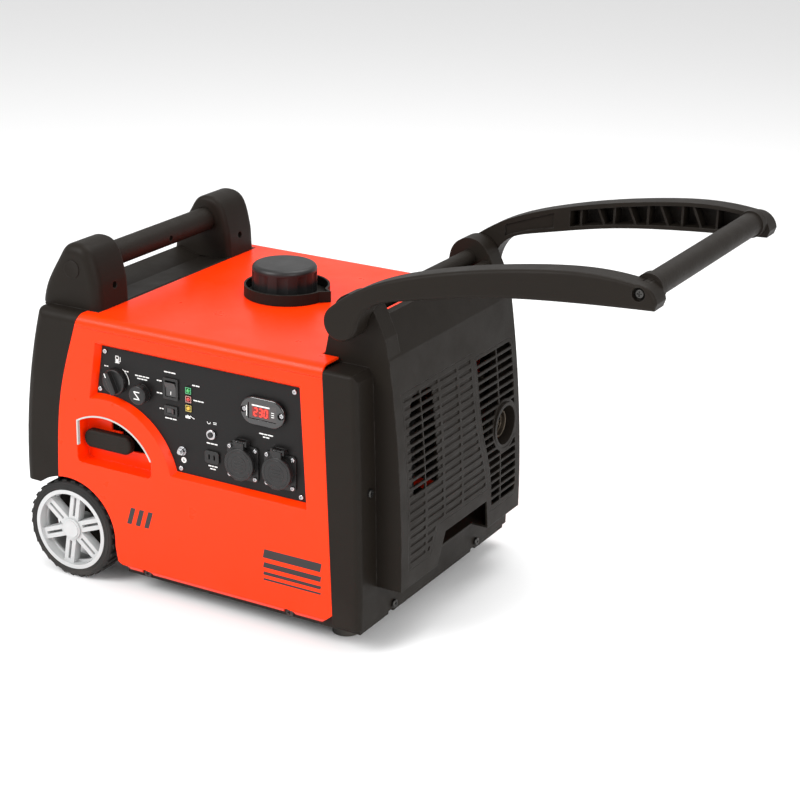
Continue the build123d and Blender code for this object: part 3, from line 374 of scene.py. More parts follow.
def rubbed_edges():
    """Mask of the outer edges, broken up by noise, where hands and cartons rub."""
    inputs = [("Vector", VECTOR, None), ("Radius", FLOAT, 0.0015), ("Amount", FLOAT, 0.5)]
    group, nodes, start, end = new_group("Rubbed edges", inputs, [("Mask", FLOAT)])
    soft = nodes.add("ShaderNodeBevel", {"Radius": start.outputs["Radius"]}, samples=4)
    sharp = nodes.add("ShaderNodeNewGeometry")
    dot = nodes.add(
        "ShaderNodeVectorMath", {0: soft.outputs[0], 1: sharp.outputs["Normal"]}, operation="DOT_PRODUCT"
    )
    bend = nodes.maths("SUBTRACT", 1.0, dot.outputs["Value"])
    patches = nodes.noise(start.outputs["Vector"], 55.0, 5.0, 0.65)
    patches = nodes.maths("MULTIPLY", nodes.maths("SUBTRACT", patches, 0.42), 5.0, True)
    mask = nodes.maths("MULTIPLY", nodes.maths("MULTIPLY", bend, 5.0, True), patches)
    nodes.tree.links.new(nodes.maths("MULTIPLY", mask, start.outputs["Amount"], True), end.inputs["Mask"])
    return group


def settled_dust():
    """Mask of thin dust on faces that look up, and of splashes near the floor."""
    inputs = [("Vector", VECTOR, None), ("Top", FLOAT, 0.3), ("Low", FLOAT, 0.3)]
    group, nodes, start, end = new_group("Settled dust", inputs, [("Mask", FLOAT)])
    face = nodes.add("ShaderNodeNewGeometry")
    up = nodes.add("ShaderNodeSeparateXYZ", {0: face.outputs["Normal"]}).outputs["Z"]
    up = nodes.maths("POWER", nodes.maths("MAXIMUM", up, 0.0), 4.0)
    height = nodes.add("ShaderNodeSeparateXYZ", {0: start.outputs["Vector"]}).outputs["Z"]
    low = nodes.maths("SUBTRACT", 1.0, nodes.maths("MULTIPLY", height, 8.0), True)
    clouds = nodes.noise(start.outputs["Vector"], 14.0, 6.0, 0.6)
    clouds = nodes.maths("MULTIPLY", nodes.maths("SUBTRACT", clouds, 0.35), 2.2, True)
    where = nodes.maths(
        "ADD", nodes.maths("MULTIPLY", up, start.outputs["Top"]), nodes.maths("MULTIPLY", low, start.outputs["Low"])
    )
    nodes.tree.links.new(nodes.maths("MULTIPLY", where, clouds, True), end.inputs["Mask"])
    return group


def tone_drift():
    """Slow, slight change of tone over a surface."""
    inputs = [("Vector", VECTOR, None), ("Scale", FLOAT, 6.0), ("Spread", FLOAT, 0.5)]
    group, nodes, start, end = new_group("Tone drift", inputs, [("Factor", FLOAT)])
    cloud = nodes.noise(start.outputs["Vector"], start.outputs["Scale"], 5.0, 0.55)
    spread = nodes.maths("MULTIPLY", nodes.maths("SUBTRACT", cloud, 0.5), start.outputs["Spread"])
    nodes.tree.links.new(nodes.maths("ADD", spread, 0.5, True), end.inputs["Factor"])
    return group


def brushed_streaks():
    """Fine streaks left by turning, rolling or brushing, along the stretched axis of the vector."""
    inputs = [("Vector", VECTOR, None), ("Scale", FLOAT, 400.0)]
    group, nodes, start, end = new_group("Brushed streaks", inputs, [("Height", FLOAT)])
    streaks = nodes.noise(start.outputs["Vector"], start.outputs["Scale"], 6.0, 0.7)
    nodes.tree.links.new(streaks, end.inputs["Height"])
    return group


GROUPS = {}


def group_node(nodes, maker, **inputs):
    """One use of a shared group, with its own values."""
    if maker not in GROUPS:
        GROUPS[maker] = maker()
    node = nodes.add("ShaderNodeGroup")
    node.node_tree = GROUPS[maker]
    for key, value in inputs.items():
        if isinstance(value, bpy.types.NodeSocket):
            nodes.tree.links.new(value, node.inputs[key])
        else:
            node.inputs[key].default_value = value
    return node.outputs[0]


# ---------------------------------------------------------------- finishes


def darker(colour, factor):
    return tuple(channel * factor for channel in colour[:3]) + (1.0,)


def new_material(name):
    material = bpy.data.materials.new(name)
    material.use_nodes = True
    tree = material.node_tree
    nodes = Nodes(tree)
    shader = tree.nodes["Principled BSDF"]
    place = nodes.add("ShaderNodeTexCoord").outputs["Object"]
    return material, nodes, shader, place


def surface(
    name,
    colour,
    rough=(0.4, 0.5),
    grain=(900.0, 0.3, 0.0001),
    streak=None,
    worn=None,
    wear=0.0,
    wear_radius=0.0015,
    dust=(0.0, 0.0),
    drift=(6.0, 0.6, 0.85),
    metallic=0.0,
    coat=0.0,
    coat_rough=0.1,
    specular=0.5,
    rounded=0.0008,
):
    """Common build of every solid finish: tone, grain or streaks, rubbed edges and settled dust."""
    material, nodes, shader, place = new_material(name)
    tone = group_node(nodes, tone_drift, Vector=place, Scale=drift[0], Spread=drift[1])
    base = nodes.mix(tone, darker(colour, drift[2]), darker(colour, 1.0))
    rub = group_node(nodes, rubbed_edges, Vector=place, Radius=wear_radius, Amount=wear)
    base = nodes.mix(rub, base, darker(worn or colour, 1.0))
    film = group_node(nodes, settled_dust, Vector=place, Top=dust[0], Low=dust[1])
    base = nodes.mix(film, base, (0.30, 0.27, 0.23, 1.0))
    nodes.tree.links.new(base, shader.inputs["Base Color"])

    smears = nodes.noise(place, 23.0, 5.0, 0.6)
    gloss = nodes.add(
        "ShaderNodeMapRange",
        {"Value": smears, "From Min": 0.3, "From Max": 0.7, "To Min": rough[0], "To Max": rough[1]},
    ).outputs[0]
    gloss = nodes.maths("ADD", gloss, nodes.maths("MULTIPLY", film, 0.3), True)
    nodes.tree.links.new(gloss, shader.inputs["Roughness"])

    soft = nodes.add("ShaderNodeBevel", {"Radius": rounded}, samples=4).outputs[0]
    if streak:
        stretch = nodes.add("ShaderNodeMapping", {"Vector": place, "Scale": streak[1]}).outputs[0]
        height = group_node(nodes, brushed_streaks, Vector=stretch, Scale=streak[0])
        depth = streak[2]
    else:
        height = group_node(nodes, moulded_grain, Vector=place, Scale=grain[0], Waves=grain[1])
        depth = grain[2]
    bump = nodes.add("ShaderNodeBump", {"Strength": 1.0, "Distance": depth, "Height": height, "Normal": soft})
    nodes.tree.links.new(bump.outputs[0], shader.inputs["Normal"])

    shader.inputs["Metallic"].default_value = metallic
    shader.inputs["Coat Weight"].default_value = coat
    shader.inputs["Coat Roughness"].default_value = coat_rough
    shader.inputs["Specular IOR Level"].default_value = specular
    return material


def lens(name, colour):
    """Small coloured plastic lens with a moulded facet pattern."""
    material, nodes, shader, place = new_material(name)
    facets = nodes.add("ShaderNodeTexVoronoi", {"Vector": place, "Scale": 900.0})
    tint = nodes.mix(facets.outputs["Distance"], darker(colour, 0.55), darker(colour, 1.0))
    nodes.tree.links.new(tint, shader.inputs["Base Color"])
    bump = nodes.add(
        "ShaderNodeBump", {"Strength": 0.6, "Distance": 0.0002, "Height": facets.outputs["Distance"]}
    )
    nodes.tree.links.new(bump.outputs[0], shader.inputs["Normal"])
    shader.inputs["Roughness"].default_value = 0.15
    shader.inputs["Coat Weight"].default_value = 0.6
    return material


def lit(name, colour, strength):
    """Glowing print of the display, slightly uneven like a real lamp behind a film."""
    material, nodes, shader, place = new_material(name)
    cloud = nodes.noise(place, 260.0, 2.0)
    glow = nodes.mix(cloud, darker(colour, 0.8), darker(colour, 1.0))
    nodes.tree.links.new(glow, shader.inputs["Emission Color"])
    nodes.tree.links.new(glow, shader.inputs["Base Color"])
    shader.inputs["Emission Strength"].default_value = strength
    shader.inputs["Roughness"].default_value = 0.3
    return material


FINISHES = {}


def make_finishes(colours):
    """One material for each slot of the record, and those of the printed marks."""
    black = colours.mouldings
    knob = colours.knobs
    chalk = (0.16, 0.15, 0.14)
    FINISHES.update({
        "shell_orange": surface(
            "Orange shell", colours.shell, rough=(0.27, 0.36), grain=(420.0, 0.6, 0.00004), dust=(0.0, 0.015),
            drift=(5.0, 0.7, 0.93), coat=0.04, coat_rough=0.15, wear=0.15, worn=(1.0, 0.12, 0.01), rounded=0.002,
            specular=0.16,
        ),
        "shell_black": surface(
            "Black end mouldings", black, rough=(0.42, 0.54), grain=(1100.0, 0.35, 0.00016), dust=(0.01, 0.05),
            drift=(7.0, 0.8, 0.72), wear=0.22, worn=chalk, rounded=0.0016, specular=0.1,
        ),
        "grip_black": surface(
            "Textured hand grip", black, rough=(0.5, 0.62), grain=(480.0, 0.3, 0.0005), dust=(0.01, 0.0),
            wear=0.2, worn=chalk, rounded=0.001, specular=0.14,
        ),
        "tray_black": surface(
            "Black tray plastic", darker(black, 0.8), rough=(0.5, 0.65), grain=(700.0, 0.4, 0.0002),
            dust=(0.02, 0.06), wear=0.2, worn=chalk, specular=0.15,
        ),
        "panel_black": surface(
            "Panel plate", colours.panel, rough=(0.34, 0.42), grain=(1600.0, 0.2, 0.00005), dust=(0.0, 0.0),
            drift=(9.0, 0.5, 0.8), specular=0.16,
        ),
        "knob_black": surface(
            "Satin black knobs", knob, rough=(0.33, 0.44), grain=(1500.0, 0.3, 0.00006), wear=0.3, worn=chalk,
            rounded=0.0006, wear_radius=0.0008, specular=0.35,
        ),
        "knob_grey": surface(
            "Rocker plastic", (0.035, 0.034, 0.034), rough=(0.3, 0.4), grain=(1500.0, 0.3, 0.00006), wear=0.4,
            worn=chalk, rounded=0.0005, wear_radius=0.0006,
        ),
        "trim_grey": surface(
            "Pale edging", (0.48, 0.48, 0.45), rough=(0.4, 0.5), grain=(1200.0, 0.3, 0.00006), rounded=0.0004,
        ),
        "bezel_black": surface(
            "Glossy bezel", (0.006, 0.006, 0.006), rough=(0.08, 0.15), grain=(300.0, 0.6, 0.00001), coat=0.6,
            coat_rough=0.04,
        ),
        "window_dark": surface(
            "Tinted window", (0.012, 0.004, 0.003), rough=(0.04, 0.09), grain=(200.0, 0.5, 0.000004), coat=0.8,
            coat_rough=0.02, rounded=0.0003,
        ),
        "tyre_rubber": surface(
            "Tread rubber", colours.tyre, rough=(0.68, 0.82), grain=(800.0, 0.5, 0.00025), dust=(0.02, 0.14),
            wear=0.4, worn=(0.05, 0.048, 0.045), specular=0.3,
        ),
        "foot_rubber": surface(
            "Foot rubber", (0.013, 0.013, 0.012), rough=(0.7, 0.85), grain=(900.0, 0.4, 0.0002), dust=(0.1, 0.4),
            specular=0.35,
        ),
        "rim_silver": surface(
            "Wheel plastic", colours.wheel, rough=(0.36, 0.48), grain=(900.0, 0.4, 0.00007), dust=(0.06, 0.12),
            drift=(16.0, 0.8, 0.86), wear=0.3, worn=(0.75, 0.75, 0.75), rounded=0.001,
        ),
        "rope_fibre": surface(
            "Starter rope", (0.02, 0.02, 0.02), rough=(0.8, 0.9), streak=(900.0, (1.0, 0.35, 1.0), 0.0005),
        ),
        "screw_chrome": surface(
            "Bright screws", (0.46, 0.46, 0.47), rough=(0.18, 0.3), streak=(600.0, (1.0, 1.0, 0.2), 0.00004),
            metallic=1.0, rounded=0.0004,
        ),
        # Zinc-plated bolts painted near black: painted shade of the frame channel they sit in.
        "bolt_steel": surface(
            "Zinc bolts in painted shade", (0.07, 0.068, 0.065), rough=(0.3, 0.45), grain=(700.0, 0.5, 0.0001), metallic=1.0,
            dust=(0.0, 0.06), rounded=0.0005,
        ),
        "pin_steel": surface(
            "Turned steel", (0.46, 0.46, 0.46), rough=(0.25, 0.38), streak=(500.0, (1.0, 0.08, 1.0), 0.00006),
            metallic=1.0,
        ),
        "tank_steel": surface(
            "Painted tank", (0.02, 0.02, 0.02), rough=(0.35, 0.5), grain=(240.0, 0.7, 0.0001), coat=0.2,
            rounded=0.003,
        ),
        "engine_cast": surface(
            "Cast engine alloy", (0.40, 0.40, 0.39), rough=(0.45, 0.62), grain=(380.0, 0.6, 0.0006), metallic=0.9,
            dust=(0.15, 0.1), drift=(12.0, 1.0, 0.6), rounded=0.002,
        ),
        "rotor_iron": surface(
            "Rotor iron", (0.10, 0.095, 0.09), rough=(0.4, 0.55), streak=(350.0, (0.1, 1.0, 1.0), 0.0001),
            metallic=0.9,
        ),
        "winding_copper": surface(
            "Varnished copper", (0.45, 0.13, 0.04), rough=(0.25, 0.4), streak=(700.0, (0.1, 1.0, 1.0), 0.0006),
            metallic=0.8, coat=0.5,
        ),
        "muffler_steel": surface(
            "Heat-tinted steel", (0.22, 0.18, 0.14), rough=(0.35, 0.6), grain=(300.0, 0.8, 0.0002), metallic=1.0,
            drift=(11.0, 1.6, 0.35), rounded=0.002,
        ),
        "carb_alloy": surface(
            "Die-cast alloy", (0.36, 0.36, 0.35), rough=(0.35, 0.5), grain=(700.0, 0.4, 0.0002), metallic=0.9,
        ),
        "inverter_alloy": surface(
            "Heat sink alloy", (0.32, 0.33, 0.34), rough=(0.3, 0.42), streak=(500.0, (1.0, 1.0, 0.06), 0.00008),
            metallic=1.0,
        ),
        "lamp_green": lens("Green lens", (0.03, 0.42, 0.09)),
        "lamp_red": lens("Red lens", (0.55, 0.02, 0.015)),
        "lamp_yellow": lens("Yellow lens", (0.72, 0.42, 0.02)),
        "outline_green": surface(
            "Green print", (0.10, 0.50, 0.22), grain=(1500.0, 0.4, 0.00002), rounded=0.0001
        ),
        "outline_red": surface(
            "Pale red print", (0.62, 0.30, 0.26), grain=(1500.0, 0.4, 0.00002), rounded=0.0001
        ),
        "outline_yellow": surface(
            "Yellow print", (0.62, 0.50, 0.12), grain=(1500.0, 0.4, 0.00002), rounded=0.0001
        ),
        "print_white": surface(
            "White print", colours.marks, rough=(0.45, 0.55), grain=(1500.0, 0.4, 0.00002), drift=(60.0, 0.9, 0.8),
            rounded=0.0001,
        ),
        "print_black": surface(
            "Black print", (0.008, 0.008, 0.008), rough=(0.32, 0.42), grain=(1500.0, 0.4, 0.00002),
            drift=(30.0, 0.7, 0.7), rounded=0.0001,
        ),
        "digits_lit": lit("Lit digits", colours.digits, 2.2),
        "glow_dim": lit("Digit backing", darker(colours.digits, 0.16)[:3], 0.5),
        "spring_steel": surface(
            "Black spring wire", (0.05, 0.05, 0.05), rough=(0.3, 0.4), streak=(800.0, (0.2, 1.0, 1.0), 0.00003),
            metallic=0.9, rounded=0.0001,
        ),
    })


class GENERATOR_OT_finishes(bpy.types.Operator):
    """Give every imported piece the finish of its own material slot"""

    bl_idname = "generator.finishes"
    bl_label = "Finishes of the packed pieces"

    def execute(self, context):
        make_finishes(context.scene.generator_colours)
        for subpart in frame["record"]["subparts"]:
            node = frame["nodes"][subpart["node"]]
            for place in node.material_slots:
                place.material = FINISHES[subpart["material_slot"]]
        return {"FINISHED"}


# ---------------------------------------------------------------- printed marks of the panel


def front_mark(name, x, z, width, height, y, depth):
    """Thin upright plate, centred on a point of a face that looks to the front."""
    return block(name, (x - width / 2, y - depth, z - height / 2), (x + width / 2, y, z + height / 2))


def dash_row(x, z, lengths, y, depth, height):
    """Row of short dashes that stands where a caption would be."""
    gap = 0.9 * MM
    total = sum(lengths) * MM + gap * (len(lengths) - 1)
    left = x - total / 2
    dashes = []
    for length in lengths:
        dashes.append(front_mark("dash", left + length * MM / 2, z, length * MM, height, y, depth))
        left += length * MM + gap
    return dashes


class GENERATOR_OT_captions(bpy.types.Operator):
    """Rows of plain dashes beside the controls, in place of captions"""

    bl_idname = "generator.captions"
    bl_label = "Panel captions"

    def execute(self, context):
        sizes = context.scene.generator_sizes
        depth = sizes.print_thickness
        y = Place("control_panel").low.y - MARK_LIFT + depth
        choke = Place("choke_knob").mid
        engine = Place("engine_switch_rocker").mid
        eco = Place("eco_switch_rocker").mid
        breaker = Place("breaker_nut").mid
        low_volt = Place("dc_outlet").mid
        meter = Place("display_bezel").mid
        green, red, yellow = (Place(f"lamp_{name}").mid for name in ("green", "red", "yellow"))
        rows = [
            (choke.x, choke.z + 24 * MM, (5, 6, 4, 6)),
            (choke.x, choke.z + 20 * MM, (6, 4, 5)),
            (engine.x - 2 * MM, engine.z + 24 * MM, (6, 4, 7)),
            (engine.x - 20 * MM, engine.z + 9 * MM, (3, 4)),
            (engine.x - 20 * MM, engine.z - 9 * MM, (4, 4)),
            (eco.x - 16 * MM, eco.z, (3, 3)),
            (eco.x - 1 * MM, eco.z - 12 * MM, (6, 5, 6)),
            (green.x + 12 * MM, green.z + 9 * MM, (5, 6)),
            (red.x + 16 * MM, red.z, (6, 5, 4)),
            (meter.x + 2 * MM, meter.z - 33 * MM, (7, 5, 8)),
            (meter.x + 2 * MM, meter.z - 37 * MM, (4, 5)),
            (breaker.x, breaker.z - 14 * MM, (6, 5, 5)),
            (low_volt.x, low_volt.z - 14 * MM, (5, 3, 5)),
            (low_volt.x, low_volt.z - 18 * MM, (4, 4)),
        ]
        dashes = []
        for x, z, lengths in rows:
            dashes += dash_row(x, z, lengths, y, depth, 1.7 * MM)
        hand_over(join("panel_captions", dashes), FINISHES["print_white"], "case")
        return {"FINISHED"}


def oil_can(centre, y, depth, stroke):
    """Small oil-can pictogram: a body, a spout and a drop."""
    x, z = centre
    parts = [front_mark("can", x, z, 8 * MM, 3.4 * MM, y, depth)]
    parts.append(turn(front_mark("spout", x + 6.4 * MM, z + 1.2 * MM, 6.5 * MM, stroke, y, depth), -28,
                      (x + 6.4 * MM, y, z + 1.2 * MM)))
    parts.append(front_mark("lid", x, z + 2.6 * MM, 3 * MM, stroke, y, depth))
    parts.append(rod("drop", (x + 10.2 * MM, y - depth / 2, z - 0.4 * MM), 0.8 * MM, depth, "Y", 16))
    return parts


def pump(centre, y, depth, stroke):
    """Fuel-pump pictogram: a column on a foot, with a hose at its side."""
    x, z = centre
    parts = [front_mark("foot", x, z - 5.2 * MM, 7.5 * MM, 1.2 * MM, y, depth)]
    for dx in (-2.4, 2.4):
        parts.append(front_mark("wall", x + dx * MM, z, 1.2 * MM, 9.5 * MM, y, depth))
    parts.append(front_mark("top", x, z + 4.4 * MM, 6 * MM, 1.2 * MM, y, depth))
    parts.append(front_mark("belly", x, z - 2.2 * MM, 5 * MM, 5 * MM, y, depth))
    parts.append(front_mark("hose", x + 5.2 * MM, z + 0.4 * MM, stroke, 7 * MM, y, depth))
    parts.append(front_mark("elbow", x + 4.0 * MM, z - 3.1 * MM, 2.6 * MM, stroke, y, depth))
    return parts


class GENERATOR_OT_pictograms(bpy.types.Operator):
    """Fuel scale over the valve knob, and the pump, oil-can and current pictograms"""

    bl_idname = "generator.pictograms"
    bl_label = "Panel pictograms"

    def execute(self, context):
        sizes = context.scene.generator_sizes
        depth = sizes.print_thickness
        stroke = sizes.mark_stroke
        y = Place("control_panel").low.y - MARK_LIFT + depth
        valve = pivot("fuel_valve_turn")
        middle = (valve.x, y - depth / 2, valve.z)
        parts = [arc("scale", middle, 22.5 * MM, stroke, depth, 58, 62)]
        for degrees, lengths in ((130, (3, 3)), (44, (4, 3))):
            x = valve.x + 25 * MM * cos(radians(degrees))
            z = valve.z + 25 * MM * sin(radians(degrees))
            parts += dash_row(x, z, lengths, y, depth, 1.5 * MM)
        parts += pump((valve.x + 3 * MM, valve.z + 32.5 * MM), y, depth, stroke)
        yellow = Place("lamp_yellow").mid
        parts += oil_can((yellow.x - 2 * MM, yellow.z - 13.5 * MM), y, depth, stroke)
        breaker = Place("breaker_nut").mid
        hump = (breaker.x - 5 * MM, y - depth / 2, breaker.z + 17 * MM)
        parts.append(arc("symbol", hump, 2.6 * MM, stroke, depth, 0, 180))
        for rise in (17.5 * MM, 15.4 * MM):
            parts.append(
                front_mark("symbol", breaker.x + 5 * MM, breaker.z + rise, 5.5 * MM, stroke, y, depth)
            )
        hand_over(join("panel_pictograms", parts), FINISHES["print_white"], "case")
        return {"FINISHED"}


class GENERATOR_OT_lamp_outlines(bpy.types.Operator):
    """Dark film with a coloured square round each indicator lamp"""

    bl_idname = "generator.lamp_outlines"
    bl_label = "Lamp outlines"

    def execute(self, context):
        depth = context.scene.generator_sizes.print_thickness
        y = Place("lamp_frame").low.y
        for place in frame["nodes"]["lamp_frame"].material_slots:
            place.material = FINISHES["panel_black"]
        for name in ("green", "red", "yellow"):
            centre = Place(f"lamp_{name}").mid
            half = 4.2 * MM
            line = 0.8 * MM
            long, short = 2 * half + line, 2 * half - line
            sides = []
            for reach in (-half, half):
                sides.append(front_mark("side", centre.x + reach, centre.z, line, long, y, depth))
                sides.append(front_mark("side", centre.x, centre.z + reach, short, line, y, depth))
            hand_over(join(f"lamp_outline_{name}", sides), FINISHES[f"outline_{name}"], "case")
        return {"FINISHED"}


class GENERATOR_OT_earth_mark(bpy.types.Operator):
    """White disc with the earth symbol, under the earth stud"""

    bl_idname = "generator.earth_mark"
    bl_label = "Earth mark"

    def execute(self, context):
        depth = context.scene.generator_sizes.print_thickness
        y = Place("control_panel").low.y - MARK_LIFT + depth
        stud = Place("earth_terminal").mid
        x, z = stud.x + 2 * MM, stud.z - 13.4 * MM
        disc = rod("earth_disc", (x, y - depth / 2, z), 4.2 * MM, depth, "Y", 32)
        hand_over(disc, FINISHES["print_white"], "case")
        top = y - depth
        bars = [front_mark("stem", x, z + 1.4 * MM, 0.6 * MM, 2.6 * MM, top, depth)]
        for row, width in enumerate((4.6, 3.0, 1.4)):
            bars.append(front_mark("bar", x, z - (0.2 + row * 1.1) * MM, width * MM, 0.6 * MM, top, depth))
        hand_over(join("earth_symbol", bars), FINISHES["print_black"], "case")
        return {"FINISHED"}


class GENERATOR_OT_control_marks(bpy.types.Operator):
    """White marks on the knobs and rockers, each put in its control's body"""

    bl_idname = "generator.control_marks"
    bl_label = "Marks on knobs and rockers"

    def execute(self, context):
        depth = context.scene.generator_sizes.print_thickness
        choke = Place("choke_knob")
        x, z, y = choke.mid.x, choke.mid.z, choke.low.y + depth / 2
        bars = [front_mark("bar", x, z + dz * MM, 10 * MM, 1.5 * MM, y, depth) for dz in (-5.2, 5.2)]
        bars.append(turn(front_mark("slash", x, z, 11.5 * MM, 1.7 * MM, y, depth), -48, (x, y, z)))
        hand_over(join("choke_mark", bars), FINISHES["print_white"], "choke")

        valve = pivot("fuel_valve_turn")
        direction = radians(115)
        face = Place("fuel_valve_knob").low.y + depth / 2
        x = valve.x + 13 * MM * cos(direction)
        z = valve.z + 13 * MM * sin(direction)
        pointer = turn(front_mark("valve_pointer", x, z, 6.4 * MM, 1.5 * MM, face, depth), 115, (x, face, z))
        hand_over(pointer, FINISHES["print_white"], "valve_knob")

        engine = pivot("engine_switch_tip")
        bar = front_mark(
            "engine_switch_mark", engine.x, engine.z - 6.1 * MM, 1.2 * MM, 5 * MM, engine.y - 2.72 * MM, depth
        )
        hand_over(bar, FINISHES["print_white"], "engine_rocker")
        return {"FINISHED"}


# ---------------------------------------------------------------- display

SEGMENTS = {
    "2": "abged",
    "3": "abgcd",
    "0": "abcdef",
}


def digit(symbol, x, z, y, depth, height):
    """Seven-segment digit, leaning a little, from plain bars."""
    half = height / 4
    wide = height * 0.46
    stroke = height * 0.13
    lean = 0.08
    flat = {"a": 2 * half, "g": 0.0, "d": -2 * half}
    upright = {"b": (1, half), "c": (1, -half), "f": (-1, half), "e": (-1, -half)}
    bars = []
    for key in SEGMENTS[symbol]:
        if key in flat:
            rise = flat[key]
            bars.append(front_mark("bar", x + rise * lean, z + rise, wide - stroke, stroke, y, depth))
        else:
            side, rise = upright[key]
            across = x + side * wide / 2 + rise * lean
            bars.append(front_mark("bar", across, z + rise, stroke, 2 * half - stroke, y, depth))
    return bars


class GENERATOR_OT_display(bpy.types.Operator):
    """Lit digits, their dim backing and the white marks of the meter's window"""

    bl_idname = "generator.display"
    bl_label = "Meter display"

    def execute(self, context):
        depth = context.scene.generator_sizes.print_thickness
        window = Place("display_window")
        y = window.low.y - MARK_LIFT + depth
        x, z = window.mid.x - 3 * MM, window.mid.z - 1 * MM
        backing = front_mark("digit_backing", x, z, 27 * MM, 14 * MM, y, depth)
        hand_over(backing, FINISHES["glow_dim"], "case")
        bars = []
        for place, symbol in enumerate("230"):
            bars += digit(symbol, x + (place - 1) * 8 * MM, z, y - depth, depth, 10.5 * MM)
        hand_over(join("lit_digits", bars), FINISHES["digits_lit"], "case")

        marks = [front_mark("stripe", x, z + 9 * MM, 28 * MM, 2.0 * MM, y, depth)]
        for row in (-3, 0, 3):
            marks.append(front_mark("unit", x + 19 * MM, z + row * MM, 4.5 * MM, 1.1 * MM, y, depth))
        bezel_y = Place("display_bezel").low.y - MARK_LIFT + depth
        marks.append(front_mark("side_bar", window.low.x + 1.5 * MM, z, 1.2 * MM, 15 * MM, bezel_y, depth))
        hand_over(join("display_marks", marks), FINISHES["print_white"], "case")
        return {"FINISHED"}


# ---------------------------------------------------------------- outlet covers


class GENERATOR_OT_outlet_covers(bpy.types.Operator):
    """Springs on the hinges, a raised rim, a ribbed middle and a thumb tab on each outlet's cover"""

    bl_idname = "generator.outlet_covers"
    bl_label = "Outlet covers"

    def execute(self, context):
        sizes = context.scene.generator_sizes
        for number in (1, 2):
            hinge = pivot(f"outlet_{number}_cover_lift")
            cover = Place(f"outlet_{number}_cover")
            body = f"cover_{number}"
            spring = coil(
                f"outlet_{number}_spring", hinge, sizes.spring_radius, sizes.spring_wire, 6, 10 * MM
            )
            hand_over(spring, FINISHES["spring_steel"], body)

            middle = Vector((cover.mid.x, cover.low.y, cover.low.z + 23 * MM))
            rim = ring(f"outlet_{number}_rim", middle + Vector((0, 0.3 * MM, 0)), 19 * MM, 0.9 * MM, "Y")
            inner = ring("inner", middle + Vector((0, 0.3 * MM, 0)), 12 * MM, 0.7 * MM, "Y")
            rib_y, tab_y = middle.y + 0.5 * MM, middle.y + 1.4 * MM
            ribs = [
                front_mark("rib", middle.x, middle.z + dz * MM, 14 * MM, 1.4 * MM, rib_y, 1 * MM)
                for dz in (-5, 0, 5)
            ]
            for rib in ribs:
                round_off(rib, 0.35 * MM)
            tab = front_mark("tab", middle.x, middle.z - 21.4 * MM, 13 * MM, 3 * MM, tab_y, 1.6 * MM)
            round_off(tab, 0.5 * MM)
            relief = join(f"outlet_{number}_relief", [rim, inner, tab, *ribs])
            hand_over(relief, FINISHES["knob_black"], body)
        return {"FINISHED"}


# ---------------------------------------------------------------- case trim


class GENERATOR_OT_case_graphics(bpy.types.Operator):
    """A block of plain stripes and three slanted bars on the front shell"""

    bl_idname = "generator.case_graphics"
    bl_label = "Graphics of the front shell"

    def execute(self, context):
        depth = context.scene.generator_sizes.print_thickness
        cover = Place("front_cover")
        y = cover.low.y - MARK_LIFT + depth
        right = cover.high.x - 18 * MM
        floor = cover.low.z
        stripes = []
        for z, width, height in ((84, 92, 13), (67, 92, 8), (54.5, 92, 5), (45.5, 92, 3)):
            level = floor + z * MM
            stripe = front_mark(
                "stripe", right - width / 2 * MM, level, width * MM, height * MM, y, depth
            )
            stripes.append(lean_over(stripe, 0.18, level))
        x = cover.low.x + 128 * MM
        z = floor + 88 * MM
        for place in range(3):
            bar = front_mark("bar", x + place * 15 * MM, z, 8 * MM, 26 * MM, y, depth)
            stripes.append(lean_over(bar, 0.3, z))
        hand_over(join("case_graphics", stripes), FINISHES["print_black"], "case")
        return {"FINISHED"}


def lean_over(obj, slope, z):
    """Slant a thin plate to the right, by moving its top and bottom edges apart."""
    for vertex in obj.data.vertices:
        vertex.co.x += (vertex.co.z - z) * slope
    return obj


class GENERATOR_OT_tower_trim(bpy.types.Operator):
    """Plugs at the carry bar's ends"""

    bl_idname = "generator.tower_trim"
    bl_label = "Tower trim"

    def execute(self, context):
        sizes = context.scene.generator_sizes
        bar = Place("carry_bar").mid
        for side, label in ((-1, "front"), (1, "rear")):
            end = (bar.x, side * TOWER_OUTER_Y, bar.z)
            plug = rod(f"carry_plug_{label}", end, sizes.plug_radius, 2.4 * MM, "Y")
            plug = step_face(plug, (0, side, 0), 2.6 * MM, -0.7 * MM)
            round_off(plug, 0.5 * MM)
            hand_over(plug, FINISHES["shell_black"], "case")
        return {"FINISHED"}


class GENERATOR_OT_exhaust_screen(bpy.types.Operator):
    """Spark screen inside the exhaust outlet"""

    bl_idname = "generator.exhaust_screen"
    bl_label = "Exhaust screen"

    def execute(self, context):
        pipe = Place("muffler")
        centre = Vector((pipe.high.x - 7 * MM, EXHAUST_Y, EXHAUST_Z))
        parts = [ring("rim", centre, 17.2 * MM, 0.9 * MM, "X")]
        parts.append(ring("mid", centre, 9.5 * MM, 0.7 * MM, "X", 48, 8))
        half_bar = Vector((0.5 * MM, 0.5 * MM, 17 * MM))
        for turn_deg in range(0, 180, 30):
            bar = block("bar", centre - half_bar, centre + half_bar)
            parts.append(turn(bar, turn_deg, centre, "X"))
        hand_over(join("exhaust_screen", parts), FINISHES["muffler_steel"], "case")
        return {"FINISHED"}


